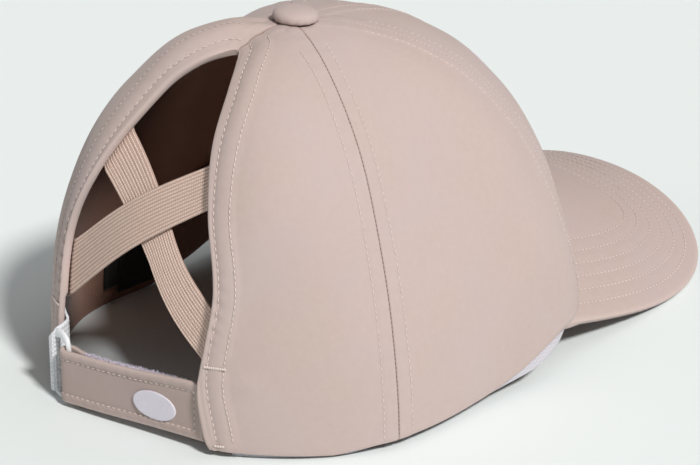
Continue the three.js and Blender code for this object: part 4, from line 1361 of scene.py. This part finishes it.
def hairTree():
    tree = bpy.data.node_groups.new("hairsOnPile", "GeometryNodeTree")
    ids = {"Surface": namedInput(tree, "Surface", "NodeSocketGeometry")}
    for name, value in (("Density", 1.0e7), ("Length", 0.001), ("Width", 0.0001)):
        ids[name] = namedInput(tree, name, "NodeSocketFloat", value)
    ids["Seed"] = namedInput(tree, "Seed", "NodeSocketInt", 4)
    ids["Fibre"] = namedInput(tree, "Fibre", "NodeSocketMaterial")
    tree.interface.new_socket(name="Hairs", in_out="OUTPUT", socket_type="NodeSocketGeometry")
    given = addNode(tree, "NodeGroupInput").outputs
    spread = addNode(tree, "GeometryNodeDistributePointsOnFaces", {},
                     {"Mesh": given["Surface"], "Density": given["Density"], "Seed": given["Seed"]})
    hair = addNode(tree, "GeometryNodeMeshCone", {"fill_type": "NONE"},
                   {"Vertices": 4, "Radius Top": 0.00001, "Radius Bottom": given["Width"],
                    "Depth": given["Length"]})
    lean = addNode(tree, "FunctionNodeRandomValue", {"data_type": "FLOAT_VECTOR"},
                   {0: (-0.8, -0.8, -0.8), 1: (0.8, 0.8, 0.8), "Seed": given["Seed"]})
    tipped = addNode(tree, "FunctionNodeEulerToRotation", {}, {0: lean.outputs[0]})
    turned = addNode(tree, "FunctionNodeRotateRotation", {},
                     {0: spread.outputs["Rotation"], 1: tipped.outputs[0]})
    long = addNode(tree, "FunctionNodeRandomValue", {"data_type": "FLOAT"},
                   {2: 0.5, 3: 1.25, "Seed": given["Seed"]})
    placed = addNode(tree, "GeometryNodeInstanceOnPoints", {},
                     {"Points": spread.outputs["Points"], "Instance": hair.outputs[0],
                      "Rotation": turned.outputs[0], "Scale": long.outputs[1]})
    real = addNode(tree, "GeometryNodeRealizeInstances", {}, {0: placed.outputs[0]})
    dyed = addNode(tree, "GeometryNodeSetMaterial", {},
                   {"Geometry": real.outputs[0], "Material": given["Fibre"]})
    addNode(tree, "NodeGroupOutput", {}, {0: dyed.outputs[0]})
    return tree, ids


hairNodes, hairIds = hairTree()


def makePile():
    inner, places = strap["inner"][::-1], 0.02 + 0.94 * np.linspace(0, 1, 13)
    fine = planCurve(inner, places)
    side = unit(planCurve(inner, places + 1e-4) - fine)
    side = np.stack([-side[:, 1], side[:, 0]], -1)
    points = [tuple(p) for p in fine + side * (strap["thick"] + shape["gap"])]
    tall = strap["tall"] - 2 * pile["inset"]
    grid, normal, run = stripGrid(points, 90, np.linspace(0, 1, 24),
                                  lambda x, u: strapLow(x) + pile["inset"],
                                  lambda x, u: tall + pile["proud"] + 0 * u)
    tuft = 0.12 * np.sin(grid[..., 0] * 2.1 + grid[..., 2] * 1.3) * np.sin(grid[..., 2] * 2.4)
    uv = np.stack([run[:, None] + 0 * grid[..., 2], grid[..., 2]], -1)
    piece = wallPiece("closure_pile_cloth", grid, grid + normal * (pile["thick"] + tuft)[..., None],
                      (0.15, 0.15, 0.2, 0.2), uv, {}, pileMaterial, 2)
    onCap(piece, "pile_tape", "closure_pile_tape")
    # hairs stand up from its upper edge
    brow, back = grid[:, -1] + [0, 0, 0.15], normal[:, -1] * pile["thick"]
    edge = np.stack([grid[:, -3], brow, brow + back, grid[:, -3] + back], 1)
    number = np.arange(edge.shape[0] * 4).reshape(-1, 4)
    corners = [number[:-1, :-1], number[:-1, 1:], number[1:, 1:], number[1:, :-1]]
    carrier = makeMesh("pile_edge", edge.reshape(-1, 3), np.stack(corners, -1).reshape(-1, 4))
    width, length = 2 * pile["thick"] + 2.6, run[-1]
    fuzz = grownMesh("closure_pile_hairs", carrier, hairNodes, {
        hairIds["Density"]: pile["hairs"] / (width * length * mm * mm),
        hairIds["Length"]: pile["hairLong"] * mm,
        hairIds["Width"]: pile["hairWide"] * mm,
        hairIds["Seed"]: 4,
        hairIds["Fibre"]: pileMaterial,
    })
    onCap(fuzz, "pile_tape")


def makeWebbing():
    depth = shape["fabric"] + shape["gap"] + web["thick"]
    height = np.array(strap["tall"] * 1.6)
    root = [tuple(insideAt(np.array(float(a)), height, depth)[:2]) for a in (-148, -151, -154.5)]
    around = arcPoints(ring["leftBar"], ring["wire"] + shape["gap"] + web["thick"], 165, -42, 7)

    def low(x, u):
        return strap["leftZ"] + web["rise"] * 0.5 * np.clip(1 - u / 0.3, 0, 1)

    def tall(x, u):
        return strap["tall"] + web["rise"] * (1 - fade(0.3, 0.95, u))

    grid, normal, travel = stripGrid(root + web["plan"] + around, 200, np.linspace(0, 1, 40), low, tall)
    along = travel[:, None] + 0 * grid[..., 2]
    height = np.linspace(0, strap["tall"], 40)[None, :] + 0 * along
    cords = 0.07 * np.sin(2 * np.pi * height / 1.3) * np.where(np.sin(2 * np.pi * along / 2.2) > 0, 1, -1)
    uv = np.stack([along, height], -1)
    piece = wallPiece("ring_webbing_tape", grid + normal * cords[..., None],
                      grid - normal * (web["thick"] + cords)[..., None], (0.2, 0.2, 0.25, 0.25), uv, {},
                      webMaterial, 3)
    onCap(piece, "white_webbing", "ring_webbing")


def makeRing():
    right, left = np.array(ring["rightBar"]), np.array(ring["leftBar"])
    halfWide = np.linalg.norm(left - right) / 2
    across = (left - right) / (2 * halfWide)
    centre = (left + right) / 2
    halfTall = ring["tall"] / 2 - ring["wire"]
    path = []
    for sx, sz, start in ((1, 1, 0), (-1, 1, 90), (-1, -1, 180), (1, -1, 270)):
        bend = ring["crestBend"] if sz > 0 else ring["bend"]
        for i in range(13):
            turn = math.radians(start + 7.5 * i)
            path.append((sx * (halfWide - bend) + bend * math.cos(turn),
                         sz * (halfTall - bend) + bend * math.sin(turn), turn))
    sides = 18
    roll = np.linspace(0, 2 * np.pi, sides, endpoint=False)
    points = []
    for a, z, turn in path:
        # the rail over the webbing is a broad smooth arch, the bars are plain rods
        wide = ring["wire"] + (ring["rail"] - ring["wire"]) * float(fade(0.1, 0.8, math.sin(turn)))
        reach, off = wide * np.cos(roll), ring["wire"] * np.sin(roll)
        flat = a + reach * math.cos(turn)
        points.append(np.stack([centre[0] + across[0] * flat - across[1] * off,
                                centre[1] + across[1] * flat + across[0] * off,
                                ring["tall"] / 2 + shape["gap"] / 3 + z + reach * math.sin(turn)], -1))
    points = np.concatenate(points)
    number = np.arange(len(points)).reshape(len(path), sides)
    after, beside = np.roll(number, -1, 0), np.roll(number, -1, 1)
    both = np.roll(after, -1, 1)
    faces = np.stack([number, after, both, beside], -1).reshape(-1, 4)
    piece = makeMesh("strap_ring_moulded", points, faces, material=ringMaterial)
    onCap(piece, "white_plastic", "strap_ring")


makeStrap()
makePile()
makeWebbing()
makeRing()
print("strap, pile, webbing and ring made")

# button and plain patches

button = {
    "radius": 7.8,
    "stem": 1,
    "back": 6,  # radius of the flat part under the crown
    "backDeep": 2.4,
    "shift": (-1.4, -1.35),  # mm that the dome sits off the middle
    "lean": 0.07,
    "dome": [  # share of the radius, and mm up, from its lower edge to its top
        (0.8, 0.16), (0.9, 0.22), (0.965, 0.5), (0.995, 0.95), (1.0, 1.45), (0.992, 1.9),
        (0.972, 2.35), (0.935, 2.8), (0.88, 3.22), (0.8, 3.6), (0.69, 3.95), (0.56, 4.22),
        (0.42, 4.42), (0.28, 4.54), (0.14, 4.59), (0.0002, 4.6),
    ],
}
frontPatch = {"z": 87.5, "halfWide": 22, "halfTall": 8.5, "thick": 0.9}
strapPatch = {"x": -14, "halfWide": 8.8, "halfTall": 5, "thick": 0.35, "lower": 1.1}


def makeButton():
    # cloth pulled over a domed disc and gathered underneath
    back, deep, stem = button["back"], -button["backDeep"], button["stem"]
    profile = [(0.001, deep - 1), (back * 0.6, deep - 1), (back, deep - 0.8), (back, deep - 0.2),
               (back * 0.9, deep), (stem, deep), (stem, 0.25)]
    profile = np.array(profile + [(button["radius"] * share, up) for share, up in button["dome"]])
    out, height = profile[None, :, 0], profile[None, :, 1]
    turn = np.linspace(0, 2 * np.pi, 96, endpoint=False)[:, None]
    gather = 1 + 0.012 * np.cos(turn * 15 + 0.7 * np.sin(turn * 2)) * ((height > 0.1) & (height < 1.3))
    x, y = out * np.cos(turn) * gather, out * np.sin(turn) * gather
    above = fade(0, 0.3, height)
    lean = button["lean"] * (x * 0.731 + y * 0.682) * above
    points = vec(x + shape["poleSide"] + button["shift"][0] * above,
                 y + shape["poleBack"] + button["shift"][1] * above,
                 height + shape["crownHeight"] + 0.25 * above + lean)
    number = np.arange(points.shape[0] * points.shape[1]).reshape(points.shape[:2])
    after = np.roll(number, -1, 0)
    faces = np.stack([number[:, :-1], after[:, :-1], after[:, 1:], number[:, 1:]], -1).reshape(-1, 4)
    uv = np.stack([x, y], -1).reshape(-1, 2)
    # painted shade at the dome's foot, where it meets the crown
    paintedShade = 0.5 * ((height > 0) & (height < 0.4)) + 0 * x
    piece = makeMesh("crown_button_covered", points.reshape(-1, 3), faces, uv, {"crease": paintedShade},
                     twillMaterial)
    onCap(piece, "cotton_twill", "crown_button")


def ovalGrid(size, surface):
    a = np.linspace(-1, 1, 61)[:, None] + 0 * np.linspace(-1, 1, 41)[None, :]
    b = np.linspace(-1, 1, 41)[None, :] + 0 * a
    x, z = a * np.sqrt(1 - b * b / 2) * size["halfWide"], b * np.sqrt(1 - a * a / 2) * size["halfTall"]
    rim = 1 - np.maximum(np.abs(a), np.abs(b))
    soft = 0.45 * size["thick"] * (1 - fade(0, 0.08, rim))
    outer, inner = surface(x, z, shape["gap"] + size["thick"] - soft), surface(x, z, 0.05 + 0 * x)
    return outer, inner, np.stack([x, z], -1)


def makePatches():
    def onFront(a, b, lift):
        z = frontPatch["z"] + b
        reach = np.linalg.norm(shellAt(np.zeros(z.shape), z) - vec(0, shape["poleBack"], z), axis=-1)
        angle = -np.degrees(a / reach)
        down = downAtHeight(angle, z)
        point = shellPoint(angle, down)
        return point + shellNormal(angle, down) * (lift + softFolds(point))[..., None]

    def onStrap(a, b, lift):
        fine, tangent, travel = evenCurve(strap["outer"], 600)[:3]
        start = np.interp(strapPatch["x"], fine[:, 0], travel)
        at = np.clip(start + a, 0, travel[-1])
        px, py = np.interp(at, travel, fine[:, 0]), np.interp(at, travel, fine[:, 1])
        tx, ty = np.interp(at, travel, tangent[:, 0]), np.interp(at, travel, tangent[:, 1])
        z = strapLow(strapPatch["x"]) + strap["tall"] / 2 - strapPatch["lower"] + b
        return vec(px - ty * lift, py + tx * lift, z)

    for name, size, surface in (("front_patch", frontPatch, onFront), ("strap_patch", strapPatch, onStrap)):
        outer, inner, uv = ovalGrid(size, surface)
        piece = wallPiece(name + "_film", outer, inner, (0, 0, 0, 0), uv, {}, patchMaterial, 1)
        onCap(piece, "pale_patch", name)


makeButton()
makePatches()
print("button and patches made")
